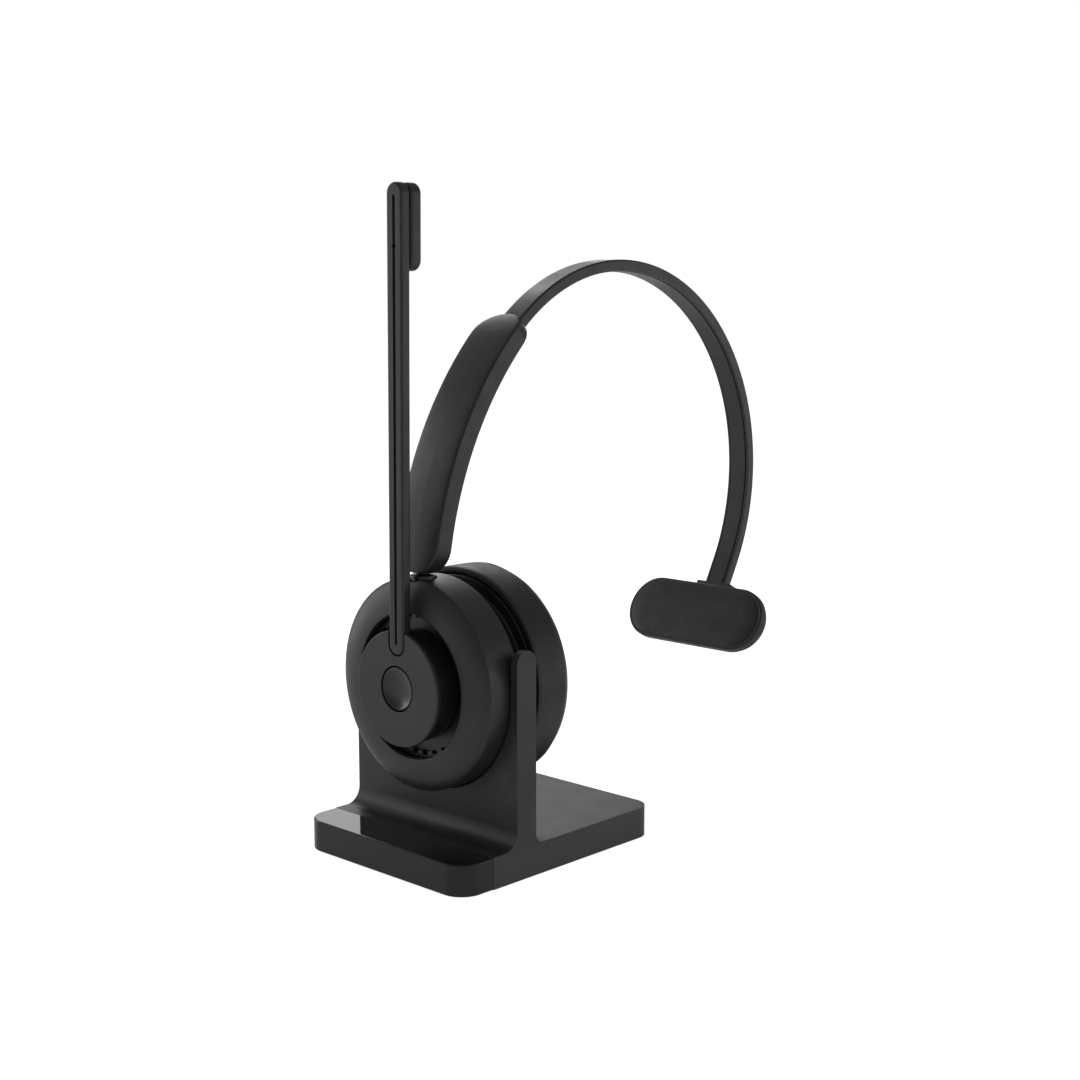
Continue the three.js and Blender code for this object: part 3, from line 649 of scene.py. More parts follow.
def usb_socket():
    """Oval charging inlet: drawn steel shell with the contact tongue inside."""
    low, high = node_box("dock_usb_socket")
    middle = Matrix.Translation((0, 0, (low.z + high.z) / 2))
    shell = prism("dock_usb_inlet", stadium(4.6, 1.6, 16), "Y", low.y, high.y, middle)
    bore = prism("bore", stadium(4.2, 1.2, 16), "Y", low.y + 2, high.y + 1, middle)
    carve(shell, bore)
    tongue = prism("tongue", stadium(3.3, 0.35, 6), "Y", low.y + 1.5, high.y - 1.2, middle)
    carve(shell, tongue, mode="UNION")
    ease_edges(shell, 0.08, 2)
    settle_in(smooth(shell), "dock", "steel", "dock_usb_socket")


def charge_pins():
    for i in (1, 2):
        node = f"dock_charge_pin_{i}"
        low, high = node_box(node)
        middle = (low + high) / 2
        r = (high.x - low.x) / 2
        corners = [(0, low.z, 0), (r, low.z, 0.1), (r, high.z, 0.55), (0, high.z + 0.02, 0)]
        pin = made(f"charge_pin_{i}_plunger", lathe(softened(corners, 6, False), middle.xy, "Z", 32))
        settle_in(smooth(pin), f"charge_pin_{i}", "gold_contact", node)


# ---------- ear cup ----------


def ear_housing():
    """Front ring: a convex face that runs from the hole to a crease, then a nearly straight side."""
    low, high = node_box("housing_ring")
    bulge = math.radians(78)
    face = []
    for k in range(15):
        turn = bulge * k / 14
        r = HOLE_R + (CREASE_R - HOLE_R) * math.sin(turn) / math.sin(bulge)
        rise = (1 - math.cos(turn)) / (1 - math.cos(bulge))
        face.append((r, low.y + (CREASE_Y - low.y) * rise, 0))
    face[0] = (HOLE_R, low.y, 0.3)
    face[-1] = (CREASE_R, CREASE_Y, 0.7)
    inside = high.x - 1.8
    corners = face + [(high.x, high.y, 0.35), (inside, high.y, 0.2), (28.4, -9.4, 0.5),
                      (27, -10.6, 0.5), (23, -11.3, 0), (HOLE_R, -11.4, 0.2)]
    ring = made("ear_housing", lathe(softened(corners), steps=192))
    tools = [rod("neck", "Z", (0, NECK_Y), 4.1, CUP_Z + 20, CUP_Z + 40, 64)]
    for name in ("volume_up_button", "volume_down_button"):
        key_low, key_high = node_box(name)
        y = (key_low.y + key_high.y) / 2
        z = (key_low.z + key_high.z) / 2
        half_y = (key_high.y - key_low.y) / 2 + FINE
        half_z = (key_high.z - key_low.z) / 2 + FINE
        outline = [(p.x + y, p.y + z) for p in rounded_rectangle(half_y, half_z, 1.2, 2)]
        tools.append(prism("pocket", outline, "X", key_low.x - 2, key_high.x + 1))
    carve(ring, *tools)
    ease_edges(ring, 0.18, 2, 40)
    settle_in(smooth(ring), "ear_cup", "shell_matte", "housing_ring")


def detent_wheel():
    """Toothed ring behind the hole, which the boom's spring clicks over."""
    low, high = node_box("detent_ring")
    teeth = 30
    shape = [(0, 20.3), (0.12, 20.3), (0.3, 20.3), (0.45, 20.3), (0.5, 19.3), (0.65, 19.3),
             (0.8, 19.3), (0.95, 19.3)]
    outer, inner = [], []
    for i in range(teeth):
        for share, r in shape:
            angle = 2 * math.pi * (i + share) / teeth
            spoke = Vector((math.cos(angle), math.sin(angle)))
            inner.append(spoke * r)
            outer.append(spoke * high.x)
    rings = []
    for outline, level in ((outer, low.y), (outer, high.y), (inner, high.y), (inner, low.y)):
        rings.append([(p.x, level, p.y + CUP_Z) for p in outline])
    wheel = made("boom_detent_wheel", loft(rings, closed=True))
    ease_edges(wheel, 0.1, 2)
    settle_in(smooth(wheel), "ear_cup", "satin_plastic", "detent_ring")


def cup_rear():
    """Neck that the dock holds and the flange that carries the cushion, and the speaker's baffle."""
    low, high = node_box("rear_shell")
    bore = NECK_R - 1.9
    collar = node_box("housing_ring")[1].x - 2.1
    flange_y = 6.3
    corners = [(bore, low.y, 0), (collar, low.y, 0.2), (collar, -0.2, 0.2), (NECK_R, -0.2, 0.5),
               (NECK_R, flange_y, 0.6), (high.x, flange_y, 0.35), (high.x, high.y, 0.2),
               (bore, high.y, 0)]
    shell = made("ear_rear_shell", lathe(softened(corners)))
    wells = []
    for name in ("charge_contact_1", "charge_contact_2"):
        pad_low, pad_high = node_box(name)
        middle = (pad_low + pad_high) / 2
        wells.append(rod("well", "Z", middle.xy, 1.9, CUP_Z - 30, CUP_Z - 20, 32))
    carve(shell, *wells)
    settle_in(smooth(shell), "ear_cup", "satin_plastic", "rear_shell")
    low, high = node_box("speaker_baffle")
    plate = made("speaker_grille", lathe(softened([(0, low.y, 0), (high.x, low.y, 0.2),
                                                   (high.x, high.y, 0.3), (0, high.y, 0)], 4, False)))
    holes = []
    for radius, count in ((0, 1), (3.6, 6), (7, 10), (10.2, 16)):
        for i in range(count):
            angle = 2 * math.pi * i / count
            centre = (radius * math.cos(angle), CUP_Z + radius * math.sin(angle))
            holes.append(rod("hole", "Y", centre, 1.1, low.y - 1, high.y + 1, 16))
    carve(plate, *holes)
    settle_in(smooth(plate), "ear_cup", "satin_plastic", "speaker_baffle")


def contact_pads():
    for i in (1, 2):
        node = f"charge_contact_{i}"
        low, high = node_box(node)
        middle = (low + high) / 2
        corners = [(0, low.z, 0), (1.55, low.z, 0.2), (1.55, low.z + 0.7, 0.1), (0.7, low.z + 0.7, 0),
                   (0.7, high.z, 0.1), (0, high.z, 0)]
        pad = made(f"ear_contact_{i}", lathe(softened(corners, 5, False), middle.xy, "Z", 32))
        settle_in(smooth(pad), "ear_cup", "gold_contact", node)


def volume_keys():
    """Two rounded keys on the rim, one with a raised cross and one with a raised bar."""
    for body, node, crossed in (("volume_up", "volume_up_button", True),
                                ("volume_down", "volume_down_button", False)):
        low, high = node_box(node)
        y, z = (low.y + high.y) / 2, (low.z + high.z) / 2
        half_y, half_z = (high.y - low.y) / 2, (high.z - low.z) / 2
        rings = []
        for inset, x in ((0, high.x), (0, low.x + 0.5), (0.12, low.x + 0.2), (0.4, low.x + 0.04),
                         (0.9, low.x)):
            ring = rounded_rectangle(half_y - inset, half_z - inset, max(0.2, 1.0 - inset), 3)
            rings.append([(x, p.x + y, p.y + z) for p in ring])
        key = made(f"{body}_key", loft(rings))
        marks = [block("mark", (low.x - 0.15, y - 0.14, z - 0.8), (low.x + 0.4, y + 0.14, z + 0.8))]
        if crossed:
            marks.append(block("mark", (low.x - 0.15, y - 0.8, z - 0.14),
                               (low.x + 0.4, y + 0.8, z + 0.14)))
        for mark in marks:
            carve(key, mark, mode="UNION")
        settle_in(smooth(key), body, "satin_plastic", node)


def call_key():
    """Round key with a dished face."""
    low, high = node_box("call_button")
    rim = 0.35
    dish = [(BUTTON_R * k / 14, low.y + 0.9 * (1 - (k / 14) ** 2), 0) for k in range(13)]
    corners = dish + [(BUTTON_R - rim, low.y, 0.3), (BUTTON_R, low.y + rim, 0.2), (BUTTON_R, -15.4, 0),
                      (2, -15.4, 0), (2, high.y, 0), (0, high.y, 0)]
    key = made("call_key_face", lathe(softened(corners, 4, False)))
    settle_in(smooth(key), "call_key", "satin_plastic", "call_button")
    dress(key, "key_face")


# ---------- ear cushion ----------


def swell(obj, pins, cap, pressure=4.0, frames=20):
    """Fills a closed skin like a stuffed cover: a cloth run at ten times the size, without gravity,
    held where pins(point in mm) is true, and no point moving more than cap millimetres."""
    enlarge = 10.0
    rest = [v.co.copy() for v in obj.data.vertices]
    held = obj.vertex_groups.new(name="held")
    held.add([i for i, p in enumerate(rest) if pins(p / MM)], 1.0, "REPLACE")
    for vertex, p in zip(obj.data.vertices, rest):
        vertex.co = p * enlarge
    cloth = obj.modifiers.new("cloth", "CLOTH")
    cloth.settings.quality = 6
    cloth.settings.mass = 0.3
    cloth.settings.tension_stiffness = 20
    cloth.settings.compression_stiffness = 20
    cloth.settings.bending_stiffness = 2.0
    cloth.settings.vertex_group_mass = "held"
    cloth.settings.use_pressure = True
    cloth.settings.uniform_pressure_force = pressure
    cloth.settings.effector_weights.gravity = 0
    cloth.point_cache.frame_end = frames
    scene = bpy.context.scene
    for step in range(1, frames + 1):
        scene.frame_set(step)
    graph = bpy.context.evaluated_depsgraph_get()
    moved = [v.co / enlarge for v in obj.evaluated_get(graph).data.vertices]
    obj.modifiers.clear()
    obj.vertex_groups.clear()
    scene.frame_set(1)
    for vertex, p, q in zip(obj.data.vertices, rest, moved):
        step = q - p
        if step.length > cap * MM:
            step = step.normalized() * cap * MM
        vertex.co = p + step


def pucker(obj, seam_r, seam_y, reach, depth):
    """Presses short radial creases into the skin, fading away from a round seam."""
    for vertex in obj.data.vertices:
        p = vertex.co / MM - Vector((0, 0, CUP_Z))
        r = math.hypot(p.x, p.z)
        away = math.hypot(r - seam_r, p.y - seam_y) / reach
        if away > 1:
            continue
        angle = math.atan2(p.z, p.x)
        ripple = noise.noise(Vector((math.cos(angle) * 9, math.sin(angle) * 9, 0.5)))
        ripple += 0.5 * noise.noise(Vector((math.cos(angle) * 23, math.sin(angle) * 23, 2.5)))
        vertex.co.y += ripple * depth * (1 - away) ** 2 * MM


def ear_cushion():
    """Foam ring in leatherette, sewn to the flange outside and round the hole inside."""
    low, high = node_box("ear_cushion")
    outer = high.x
    hole = 13.5
    foam_y = 9.9
    skirt_r = 30.05
    seam_y = high.y - 2.2
    corners = [(skirt_r, low.y, 0), (outer - 0.3, low.y, 0.3), (outer - 0.05, low.y + 0.9, 0.5),
               (outer - 0.05, high.y - 2.6, 2.0), (outer - 1.0, high.y - 0.3, 1.2),
               (outer - 3.0, high.y, 1.0), (hole + 4.2, high.y, 1.6),
               (hole + 1.4, high.y - 1.2, 1.6), (hole + 0.3, seam_y - 1.0, 1.0),
               (hole + 0.2, foam_y, 0.2), (skirt_r, foam_y, 0)]
    profile = softened(corners, 4)
    dense = []
    for a, b in zip(profile, profile[1:] + profile[:1]):
        parts = max(1, round((b - a).length / 1.3))
        dense += [a.lerp(b, k / parts) for k in range(parts)]
    cushion = made("ear_pad", lathe(dense, steps=160))
    swell(cushion, lambda p: p.y < foam_y + 0.05, 0.25)
    pucker(cushion, hole + 1.2, high.y - 1.6, 5.0, 0.22)
    pucker(cushion, outer - 1.0, high.y - 1.6, 3.0, 0.08)
    fineness = cushion.modifiers.new("fine", "SUBSURF")
    fineness.levels = 1
    fineness.render_levels = 1
    settle(cushion)
    cushion.data.shade_smooth()
    settle_in(cushion, "ear_cup", "cushion", "ear_cushion")


def speaker_cloth():
    """Round scrim stretched over the speaker's holes, slightly crowned."""
    low, high = node_box("acoustic_cloth")
    thickness = 0.2
    crown = 0.3
    radius = high.x
    front, back = [], []
    for k in range(17):
        share = k / 16
        y = low.y + 0.05 + crown * (1 - share**2)
        front.append((radius * share, y))
        back.append((radius * share, y + thickness))
    cloth = made("speaker_scrim", lathe(front + back[::-1], steps=96))
    settle_in(smooth(cloth, 60), "ear_cup", "scrim", "acoustic_cloth")


# ---------- boom ----------

LEAN = (Matrix.Translation((0, 0, CUP_Z)) @ Matrix.Rotation(BOOM_LEAN, 4, "Y"))


def upright(half, low, high, steps=24):
    """Standing slot outline between two heights above the cup's axis."""
    return stadium((high - low) / 2, half, steps, (high + low) / 2, upright=True)


def boom_slot(low, high):
    outline = upright(BOOM_HALF + FINE, BOOM_FOOT - FINE, 30)
    return prism("slot", outline, "Y", low, high, LEAN)


def hub():
    """Cap and drum that turn with the boom. Both have a slot that the boom's foot sits in."""
    low, high = node_box("hub_cap")
    hole = BUTTON_R + 0.35
    corners = [(hole, low.y, 0.15), (CAP_R, low.y, 0.45), (CAP_R, high.y, 0.15), (hole, high.y, 0)]
    cap = made("hub_cap_disc", lathe(softened(corners), steps=192))
    carve(cap, boom_slot(low.y - 1, high.y + 1))
    ease_edges(cap, 0.12, 2, 40)
    settle_in(smooth(cap), "boom", "boom_matte", "hub_cap")
    low, high = node_box("hub_drum")
    boom_rear = node_box("boom_bar")[1].y
    corners = [(5, -10.8, 0), (13.9, -10.8, 0), (13.9, low.y, 0), (15.6, low.y, 0.3), (16, -12, 1.0),
               (15.8, high.y, 0.3), (5, high.y, 0)]
    drum = made("hub_drum_shell", lathe(softened(corners), steps=160))
    carve(drum, boom_slot(low.y - 1, boom_rear + FINE))
    ease_edges(drum, 0.12, 2, 40)
    settle_in(smooth(drum), "boom", "satin_plastic", "hub_drum")


def widened(obj):
    """The boom is a little slimmer near the hub than at the microphone."""
    slim, wide = 0.95, 1.03
    back = LEAN.inverted()
    for vertex in obj.data.vertices:
        p = back @ (vertex.co / MM)
        share = (p.z - BOOM_FOOT) / (BOOM_TIP - BOOM_FOOT)
        p.x *= slim + (wide - slim) * share
        vertex.co = LEAN @ p * MM
    return obj


def boom_stem():
    low, high = node_box("boom_bar")
    stem = prism("boom_stem", upright(BOOM_HALF, BOOM_FOOT, BOOM_TIP), "Y", low.y, high.y, LEAN)
    ease_edges(stem, 0.75, 4)
    floor = low.y + 0.7
    groove = upright(GROOVE_HALF, BOOM_FOOT + 3, BOOM_TIP - 3.4, 12)
    port = rod("port", "Y", (0, MIC_PORT), 0.75, low.y - 1, high.y + 1, 24, LEAN)
    carve(stem, prism("groove", groove, "Y", low.y - 1, floor, LEAN), port)
    ease_edges(stem, 0.1, 2, 50)
    settle_in(smooth(widened(stem)), "boom", "boom_matte", "boom_bar")


def microphone():
    """Capsule behind the boom's tip, open towards the boom, with a sound port in its back."""
    low, high = node_box("mic_capsule")
    outline = upright(BOOM_HALF, CAPSULE_BOTTOM, BOOM_TIP)
    capsule = prism("mic_housing", outline, "Y", low.y, high.y, LEAN)
    ease_edges(capsule, 1.0, 5)
    inside = upright(BOOM_HALF - 1.1, CAPSULE_BOTTOM + 1.1, BOOM_TIP - 1.1, 12)
    ports = [rod("port", "Y", (0, MIC_PORT + step), 0.4, high.y - 2, high.y + 1, 16, LEAN)
             for step in (-1.6, 0, 1.6)]
    carve(capsule, prism("inside", inside, "Y", low.y - 1, high.y - 1, LEAN), *ports)
    ease_edges(capsule, 0.1, 2, 50)
    settle_in(smooth(widened(capsule)), "boom", "boom_matte", "mic_capsule")


# ---------- arm ----------


def on_arm(x, s, h):
    """Point at x across the arm, s along it from its foot and h out from the split."""
    angle = ARM_FOOT - s / ARM_SPLIT_R
    r = ARM_SPLIT_R + h
    return (x, ARM_CENTRE.x + r * math.cos(angle), ARM_CENTRE.y + r * math.sin(angle))


def arm_slab(name, half_width, low_r, high_r, start, end, steps=60):
    """Curved slab in the arm, between two radii and two angles."""
    outline = arc(ARM_CENTRE, high_r, start, end, steps) + arc(ARM_CENTRE, low_r, end, start, steps)
    return prism(name, outline, "X", -half_width, half_width)


def radial(x, degrees):
    """Frame at the arm's centre whose Z points out through x and that angle."""
    turn = Matrix.Rotation(math.radians(degrees) - math.pi / 2, 4, "X")
    return Matrix.Translation((x, *ARM_CENTRE)) @ turn


ARM_SCREWS = [(-6.2, 137), (6.2, 137), (0, 169)]


def arm_half(name, side, node):
    """Half of the arm's casing: a rounded outline that swells from the split to a soft crown, and
    thins towards the mouth."""
    length = (ARM_FOOT - MOUTH) * ARM_SPLIT_R
    taper_length = 11.0
    taper = 0.38 if side > 0 else 0.12
    profile = [(0.0, 0.03), (0.0, 1.2), (0.0, 2.35), (0.04, 2.6), (0.16, 2.78), (0.36, 2.9),
               (0.7, 2.98), (1.5, 3.07), (3.0, 3.17), (5.2, 3.25), (8.2, ARM_HEIGHT)]
    rings = []
    for inset, height in profile:
        radius = ARM_END_R * (1 - inset / ARM_HALF_WIDTH)
        ring = rounded_rectangle(ARM_HALF_WIDTH - inset, length / 2 - inset, radius, 48, 10)
        points = []
        for p in ring:
            share = max(0, (p.y + length / 2 - length + taper_length) / taper_length)
            points.append(on_arm(p.x, p.y + length / 2, side * height * (1 - taper * share**2)))
        rings.append(points)
    half = made(name, close_ends(loft(rings, capped=False), len(rings[0]), 34))
    tools = [arm_slab("pocket", BAND_HALF + 0.2, ARM_SPLIT_R - 3.6, ARM_SPLIT_R + 0.6,
                      MOUTH - 0.03, MOUTH + 0.028, 6)]
    if side < 0:
        tools.append(arm_slab("track", STRIP_HALF + 0.5, STRIP_ARM_R - 0.75, ARM_SPLIT_R + 0.6,
                              MOUTH - 0.03, STRIP_END + 0.02))
        for x, degrees in ARM_SCREWS:
            tools.append(rod("sink", "Z", (0, 0), 2.0, 100, 107.6, 32, radial(x, degrees)))
    tools.append(rod("socket", "Z", (0, NECK_Y), 2.1, 80, 92, 32))
    carve(half, *tools)
    settle_in(smooth(half), "arm", "shell_matte", node)


def arm_screws():
    """Countersunk screws in the arm's inner face, with a hexalobe recess."""
    for i, (x, degrees) in enumerate(ARM_SCREWS, 1):
        place = radial(x, degrees)
        corners = [(0, 0, 0), (1.7, 0, 0.25), (1.7, 0.8, 0.1), (0.8, 1.2, 0), (0.8, 3.8, 0), (0, 4.2, 0)]
        bm = lathe(softened(corners, 4, False), (0, 0), "Z", 40)
        bm.transform(place @ Matrix.Translation((0, 0, 106.5)))
        head = made(f"arm_casing_screw_{i}", bm)
        star = []
        for k in range(36):
            angle = 2 * math.pi * k / 36
            reach = 0.72 + 0.16 * math.cos(6 * angle)
            star.append((reach * math.cos(angle), reach * math.sin(angle)))
        carve(head, prism("recess", star, "Z", 106, 107.0, place))
        settle_in(smooth(head), "arm", "steel", f"arm_screw_{i}")


def swivel_neck():
    """Collar and shaft between the ear cup and the arm, with the crossbar that keeps it in."""
    low, high = node_box("neck_pivot")
    corners = [(0, 79.3, 0), (2.8, 79.3, 0), (3.65, 80.4, 0.4), (3.65, 83.9, 0.5), (1.75, 83.9, 0.3),
               (1.75, high.z, 0.2), (0, high.z, 0)]
    neck = made("swivel_collar", lathe(softened(corners, 6, False), (0, NECK_Y), "Z", 64))
    bar = block("bar", (low.x, NECK_Y - 1.6, low.z), (high.x, NECK_Y + 1.6, 79.5))
    carve(neck, bar, mode="UNION")
    settle_in(smooth(neck), "arm", "satin_plastic", "neck_pivot")


# ---------- headband ----------

BAND_CENTRE = ARM_CENTRE + (STRIP_ARM_R - STRIP_BAND_R) * Vector((math.cos(MOUTH), math.sin(MOUTH)))


def along_band(section, start, tail, steps=150):
    """Closed skin of a section of (x, radius) points, from an angle at the mouth to the tail."""
    rings = []
    for k in range(steps + 1):
        angle = start + (BAND_END - start) * k / steps
        spoke = Vector((math.cos(angle), math.sin(angle)))
        rings.append([(x, *(BAND_CENTRE + spoke * r)) for x, r in section])
    spoke = Vector((math.cos(BAND_END), math.sin(BAND_END)))
    down = Vector((spoke.y, -spoke.x))
    for k in range(1, 5):
        reach = down * tail * k / 4
        rings.append([(x, *(BAND_CENTRE + spoke * r + reach)) for x, r in section])
    return loft(rings)


def headband():
    """Outer layer with a lip on both edges, and the narrower inner layer that snaps between them."""
    lip = 3.22
    in_mouth = MOUTH + 0.024
    floor_r = STRIP_BAND_R + 0.75
    lip_r = BAND_INNER_R + 0.25
    corners = [(-BAND_HALF, lip_r, 0.2), (-BAND_HALF, BAND_OUTER_R, 0.6), (BAND_HALF, BAND_OUTER_R, 0.6),
               (BAND_HALF, lip_r, 0.2), (lip, lip_r, 0.15), (lip, floor_r, 0.1), (-lip, floor_r, 0.1),
               (-lip, lip_r, 0.15)]
    outer = made("headband_outer", along_band(softened(corners, 4), in_mouth, BAND_TAIL))
    ease_edges(outer, 0.15, 2, 60)
    settle_in(smooth(outer), "headband", "band_plastic", "headband_outer_layer")
    half = lip - 0.22
    top = BAND_INNER_R + 0.9
    corners = [(-half, BAND_INNER_R, 0.25), (-half, top, 0.1), (half, top, 0.1), (half, BAND_INNER_R, 0.25)]
    inner = made("headband_inner", along_band(softened(corners, 4), in_mouth, BAND_TAIL))
    ease_edges(inner, 0.15, 2, 60)
    settle_in(smooth(inner), "headband", "band_plastic", "headband_inner_layer")


def slide_strip():
    """Spring strip: it slides in the arm and runs on inside the headband, in one length."""
    half_thick = 0.45
    corners = [(-STRIP_HALF, -half_thick, 0.2), (-STRIP_HALF, half_thick, 0.2),
               (STRIP_HALF, half_thick, 0.2), (STRIP_HALF, -half_thick, 0.2)]
    section = softened(corners, 3)
    rings = []
    for k in range(61):
        angle = STRIP_END + (MOUTH - STRIP_END) * k / 60
        spoke = Vector((math.cos(angle), math.sin(angle)))
        rings.append([(p.x, *(ARM_CENTRE + spoke * (STRIP_ARM_R + p.y))) for p in section])
    for k in range(1, 151):
        angle = MOUTH + (BAND_END - MOUTH) * k / 150
        spoke = Vector((math.cos(angle), math.sin(angle)))
        rings.append([(p.x, *(BAND_CENTRE + spoke * (STRIP_BAND_R + p.y))) for p in section])
    down = Vector((spoke.y, -spoke.x))
    tail = down * (BAND_TAIL + 4)
    rings.append([(x, y + tail.x, z + tail.y) for x, y, z in rings[-1]])
    strip = made("size_strip", loft(rings))
    settle_in(smooth(strip), "headband", "spring_steel", "slider_strip")


# ---------- temple pad ----------

PAD_FRAME = Matrix.Translation(PAD_CENTRE) @ Matrix.Rotation(BAND_END, 4, "X")
PIN_Y = 7.5
PIN_Z = 5.0
BRACKET_HALF = 4.8


def temple_bracket():
    """T-shaped block on the headband's end: the pad tilts on its stem, and its collar holds the band."""
    front, rear = 5.0, 10.2
    clear_of_plate = 6.0
    collar_low, collar_high = 8.7, 13.2

    def footing(half):
        return softened([(-half, front, 0.6), (half, front, 0.6), (half, rear, 1.2), (-half, rear, 1.2)])

    bracket = prism("temple_knuckle", footing(BRACKET_HALF), "Z", 2, collar_high, PAD_FRAME)
    carve(bracket, prism("collar", footing(7.2), "Z", collar_low, collar_high, PAD_FRAME), mode="UNION")
    face = [(-8, front - 1), (8, front - 1), (8, clear_of_plate), (-8, clear_of_plate)]
    slot_half = BAND_HALF + 0.2
    slot = [(-slot_half, 5.5), (slot_half, 5.5), (slot_half, 9.5), (-slot_half, 9.5)]
    bore = rod("bore", "X", (PIN_Y, PIN_Z), 1.55, -9, 9, 40, PAD_FRAME)
    carve(bracket, prism("face", face, "Z", 1, 11.8, PAD_FRAME), prism("slot", slot, "Z", 8.4, 15, PAD_FRAME),
          bore)
    ease_edges(bracket, 0.3, 3)
    settle_in(smooth(bracket), "headband", "band_plastic", "temple_bracket")


def pad_carrier():
    """Plate behind the pad, with two ears that hold the pin."""
    low = PAD_REAR + FINE
    inset = 0.9
    plate = prism("temple_carrier", stadium(PAD_HALF_LENGTH - inset, PAD_HALF_HEIGHT - inset, 40), "Y",
                  low, low + 1.2, PAD_FRAME)
    ease_edges(plate, 0.35, 3)
    for side in (-1, 1):
        near, far = side * (BRACKET_HALF + 0.4), side * (BRACKET_HALF + 2.4)
        top = PIN_Y + 2.1
        outline = softened([(low + 0.6, 2.4, 0), (top, 2.4, 2.0), (top, 7.6, 2.0), (low + 0.6, 7.6, 0)], 8)
        ear = prism("ear", outline, "X", min(near, far), max(near, far), PAD_FRAME)
        ease_edges(ear, 0.25, 2)
        carve(plate, ear, mode="UNION")
    carve(plate, rod("bore", "X", (PIN_Y, PIN_Z), 1.3, -9, 9, 40, PAD_FRAME))
    settle_in(smooth(plate), "temple", "band_plastic", "temple_back_plate")


def tilt_pin():
    corners = [(0, -7, 0), (1.2, -7, 0.3), (1.2, 7, 0.3), (0, 7, 0)]
    bm = lathe(softened(corners, 4, False), (0, 0), "Z", 32)
    lie = Matrix.Rotation(math.pi / 2, 4, "Y")
    bm.transform(PAD_FRAME @ Matrix.Translation((0, PIN_Y, PIN_Z)) @ lie)
    settle_in(smooth(made("temple_hinge_pin", bm)), "temple", "steel", "temple_pin")


def temple_cushion():
    """Thin foam pad in leatherette, with a pressed border round a flat, barely crowned face."""
    border = [(0.0, 1.4), (0.03, 0.75), (0.2, 0.4), (0.6, 0.3), (0.95, 0.4), (1.1, 0.42), (1.3, 0.3),
              (1.7, 0.12), (2.4, 0.05), (3.6, 0.02), (5.4, 0.0), (7.4, 0.0), (9.2, 0.0)]
    profile = [(0.5, PAD_REAR), (0.12, PAD_REAR - 0.15), (0.0, PAD_REAR - 0.6)]
    profile += [(inset, PAD_FACE + depth) for inset, depth in border]
    rings = []
    for inset, y in profile:
        outline = stadium(PAD_HALF_LENGTH - inset, PAD_HALF_HEIGHT - inset, 32)
        dense = []
        for a, b in zip(outline, outline[1:] + outline[:1]):
            parts = max(1, round((b - a).length / 1.1)) if (b - a).length > 5 else 1
            dense += [a.lerp(b, k / 30) for k in range(30)] if parts > 1 else [a]
        rings.append([(p.x, y, p.y) for p in dense])
    bm = close_ends(loft(rings, capped=False), len(rings[0]), 16)
    bm.transform(PAD_FRAME)
    pad = made("temple_cushion", bm)
    back = PAD_FRAME.inverted()
    swell(pad, lambda p: (back @ p).y > PAD_FACE + 0.32, 0.3, 2.0)
    fineness = pad.modifiers.new("fine", "SUBSURF")
    fineness.levels = 1
    fineness.render_levels = 1
    settle(pad)
    pad.data.shade_smooth()
    settle_in(pad, "temple", "cushion", "temple_pad")


# ---------- stage ----------

FLOOR_GLOW = 0.95  # lifts the floor to the white behind it
FLOOR_BOUNCE = 0.4  # what the object itself gets from the floor
STUDIO_FILL = 0.25


def camera():
    data = bpy.data.cameras.new("camera")
    data.lens = 56.67
    data.sensor_width = 36
    obj = bpy.data.objects.new("camera", data)
    bpy.context.scene.collection.objects.link(obj)
    azimuth, elevation = math.radians(43.39), math.radians(8.41)
    back = Vector((math.sin(azimuth) * math.cos(elevation), -math.cos(azimuth) * math.cos(elevation),
                   math.sin(elevation)))
    obj.location = (0.35018, -0.32972, 0.16379)
    obj.rotation_euler = (-back).to_track_quat("-Z", "Y").to_euler()
    bpy.context.scene.camera = obj


def softbox(name, azimuth, elevation, width, height, radiance, distance=0.7):
    """Area light that faces the object. Azimuth 0 is the front, 90 is +X, 180 the back."""
    data = bpy.data.lights.new(name, "AREA")
    data.shape = "RECTANGLE"
    data.size = width
    data.size_y = height
    data.energy = radiance * math.pi * width * height
    obj = bpy.data.objects.new(name, data)
    bpy.context.scene.collection.objects.link(obj)
    a, e = math.radians(azimuth), math.radians(elevation)
    back = Vector((math.sin(a) * math.cos(e), -math.cos(a) * math.cos(e), math.sin(e)))
    obj.location = Vector((0, 0.04, 0.08)) + back * distance
    obj.rotation_euler = (-back).to_track_quat("-Z", "Y").to_euler()
    obj.visible_camera = False


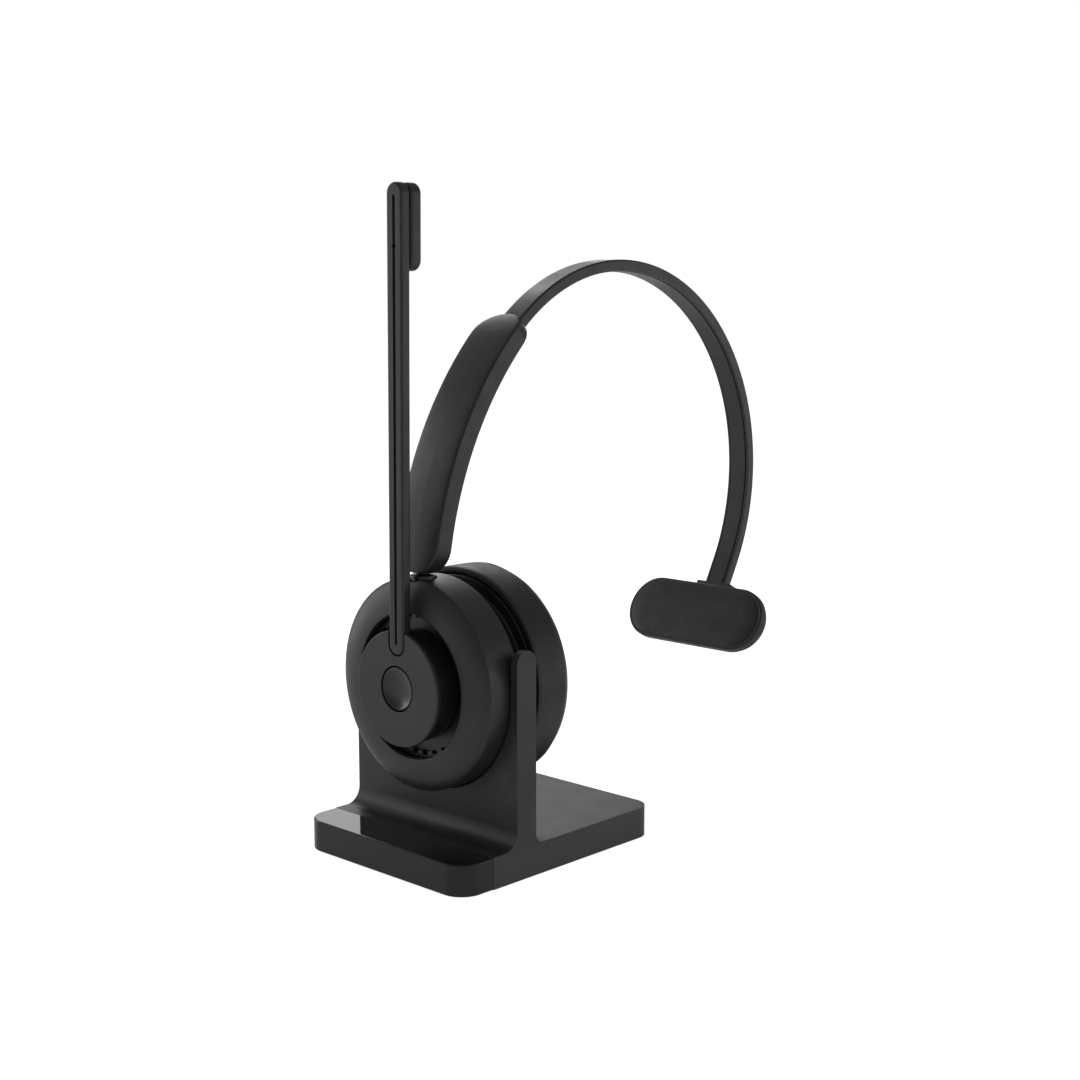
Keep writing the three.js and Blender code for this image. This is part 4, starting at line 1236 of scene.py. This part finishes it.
def floor():
    bm = bmesh.new()
    reach = 6000
    ring = [(reach * math.cos(a), reach * math.sin(a), 0) for a in
            (2 * math.pi * k / 64 for k in range(64))]
    bm.faces.new([bm.verts.new(p) for p in ring])
    obj = made("floor", bm)
    shader = Shader("floor", 0.9, Specular_IOR_Level=0.0)
    shader.colour([0.5, 0.5, 0.5], 0.004, shader.noise(60, 2))
    shader.vary_roughness(shader.noise(40, 2), 0.03)
    shader.principled.inputs["Emission Color"].default_value = (1, 1, 1, 1)
    seen = shader.nodes.new("ShaderNodeLightPath").outputs["Is Camera Ray"]
    glow = shader.math("ADD", shader.math("MULTIPLY", seen, FLOOR_GLOW - FLOOR_BOUNCE), FLOOR_BOUNCE)
    shader.join(glow, shader.principled.inputs["Emission Strength"])
    obj.data.materials.append(shader.material)


def surroundings():
    """Even white behind everything, and a dimmer studio for what the object reflects."""
    world = bpy.data.worlds.new("studio")
    bpy.context.scene.world = world
    world.use_nodes = True
    nodes, links = world.node_tree.nodes, world.node_tree.links
    seen = nodes.new("ShaderNodeBackground")
    seen.inputs["Color"].default_value = (1, 1, 1, 1)
    lit = nodes["Background"]
    lit.inputs["Color"].default_value = (1, 1, 1, 1)
    lit.inputs["Strength"].default_value = STUDIO_FILL
    mix = nodes.new("ShaderNodeMixShader")
    links.new(nodes.new("ShaderNodeLightPath").outputs["Is Camera Ray"], mix.inputs[0])
    links.new(lit.outputs[0], mix.inputs[1])
    links.new(seen.outputs[0], mix.inputs[2])
    links.new(mix.outputs[0], nodes["World Output"].inputs["Surface"])


def studio():
    camera()
    floor()
    surroundings()
    softbox("left", -66, 8, 0.35, 0.6, 2.0)
    softbox("upper_left", -100, 48, 0.5, 0.4, 0.2)
    softbox("rear_left", 240, 34, 0.2, 0.4, 2.0)
    softbox("rear", 218, 21, 0.5, 0.25, 1.5)
    softbox("rear_right", 138, 2, 0.5, 0.4, 0.7)
    softbox("right", 100, 0, 0.3, 0.5, 0.7)


bpy.context.scene.view_settings.view_transform = "Standard"
studio()
dock_body()
front_cover()
dock_underside()
usb_socket()
charge_pins()
ear_housing()
detent_wheel()
cup_rear()
contact_pads()
volume_keys()
call_key()
ear_cushion()
speaker_cloth()
hub()
boom_stem()
microphone()
arm_half("arm_outer_casing", 1, "arm_outer_shell")
arm_half("arm_inner_casing", -1, "arm_inner_shell")
arm_screws()
swivel_neck()
headband()
slide_strip()
temple_bracket()
pad_carrier()
tilt_pin()
temple_cushion()
carried_over()
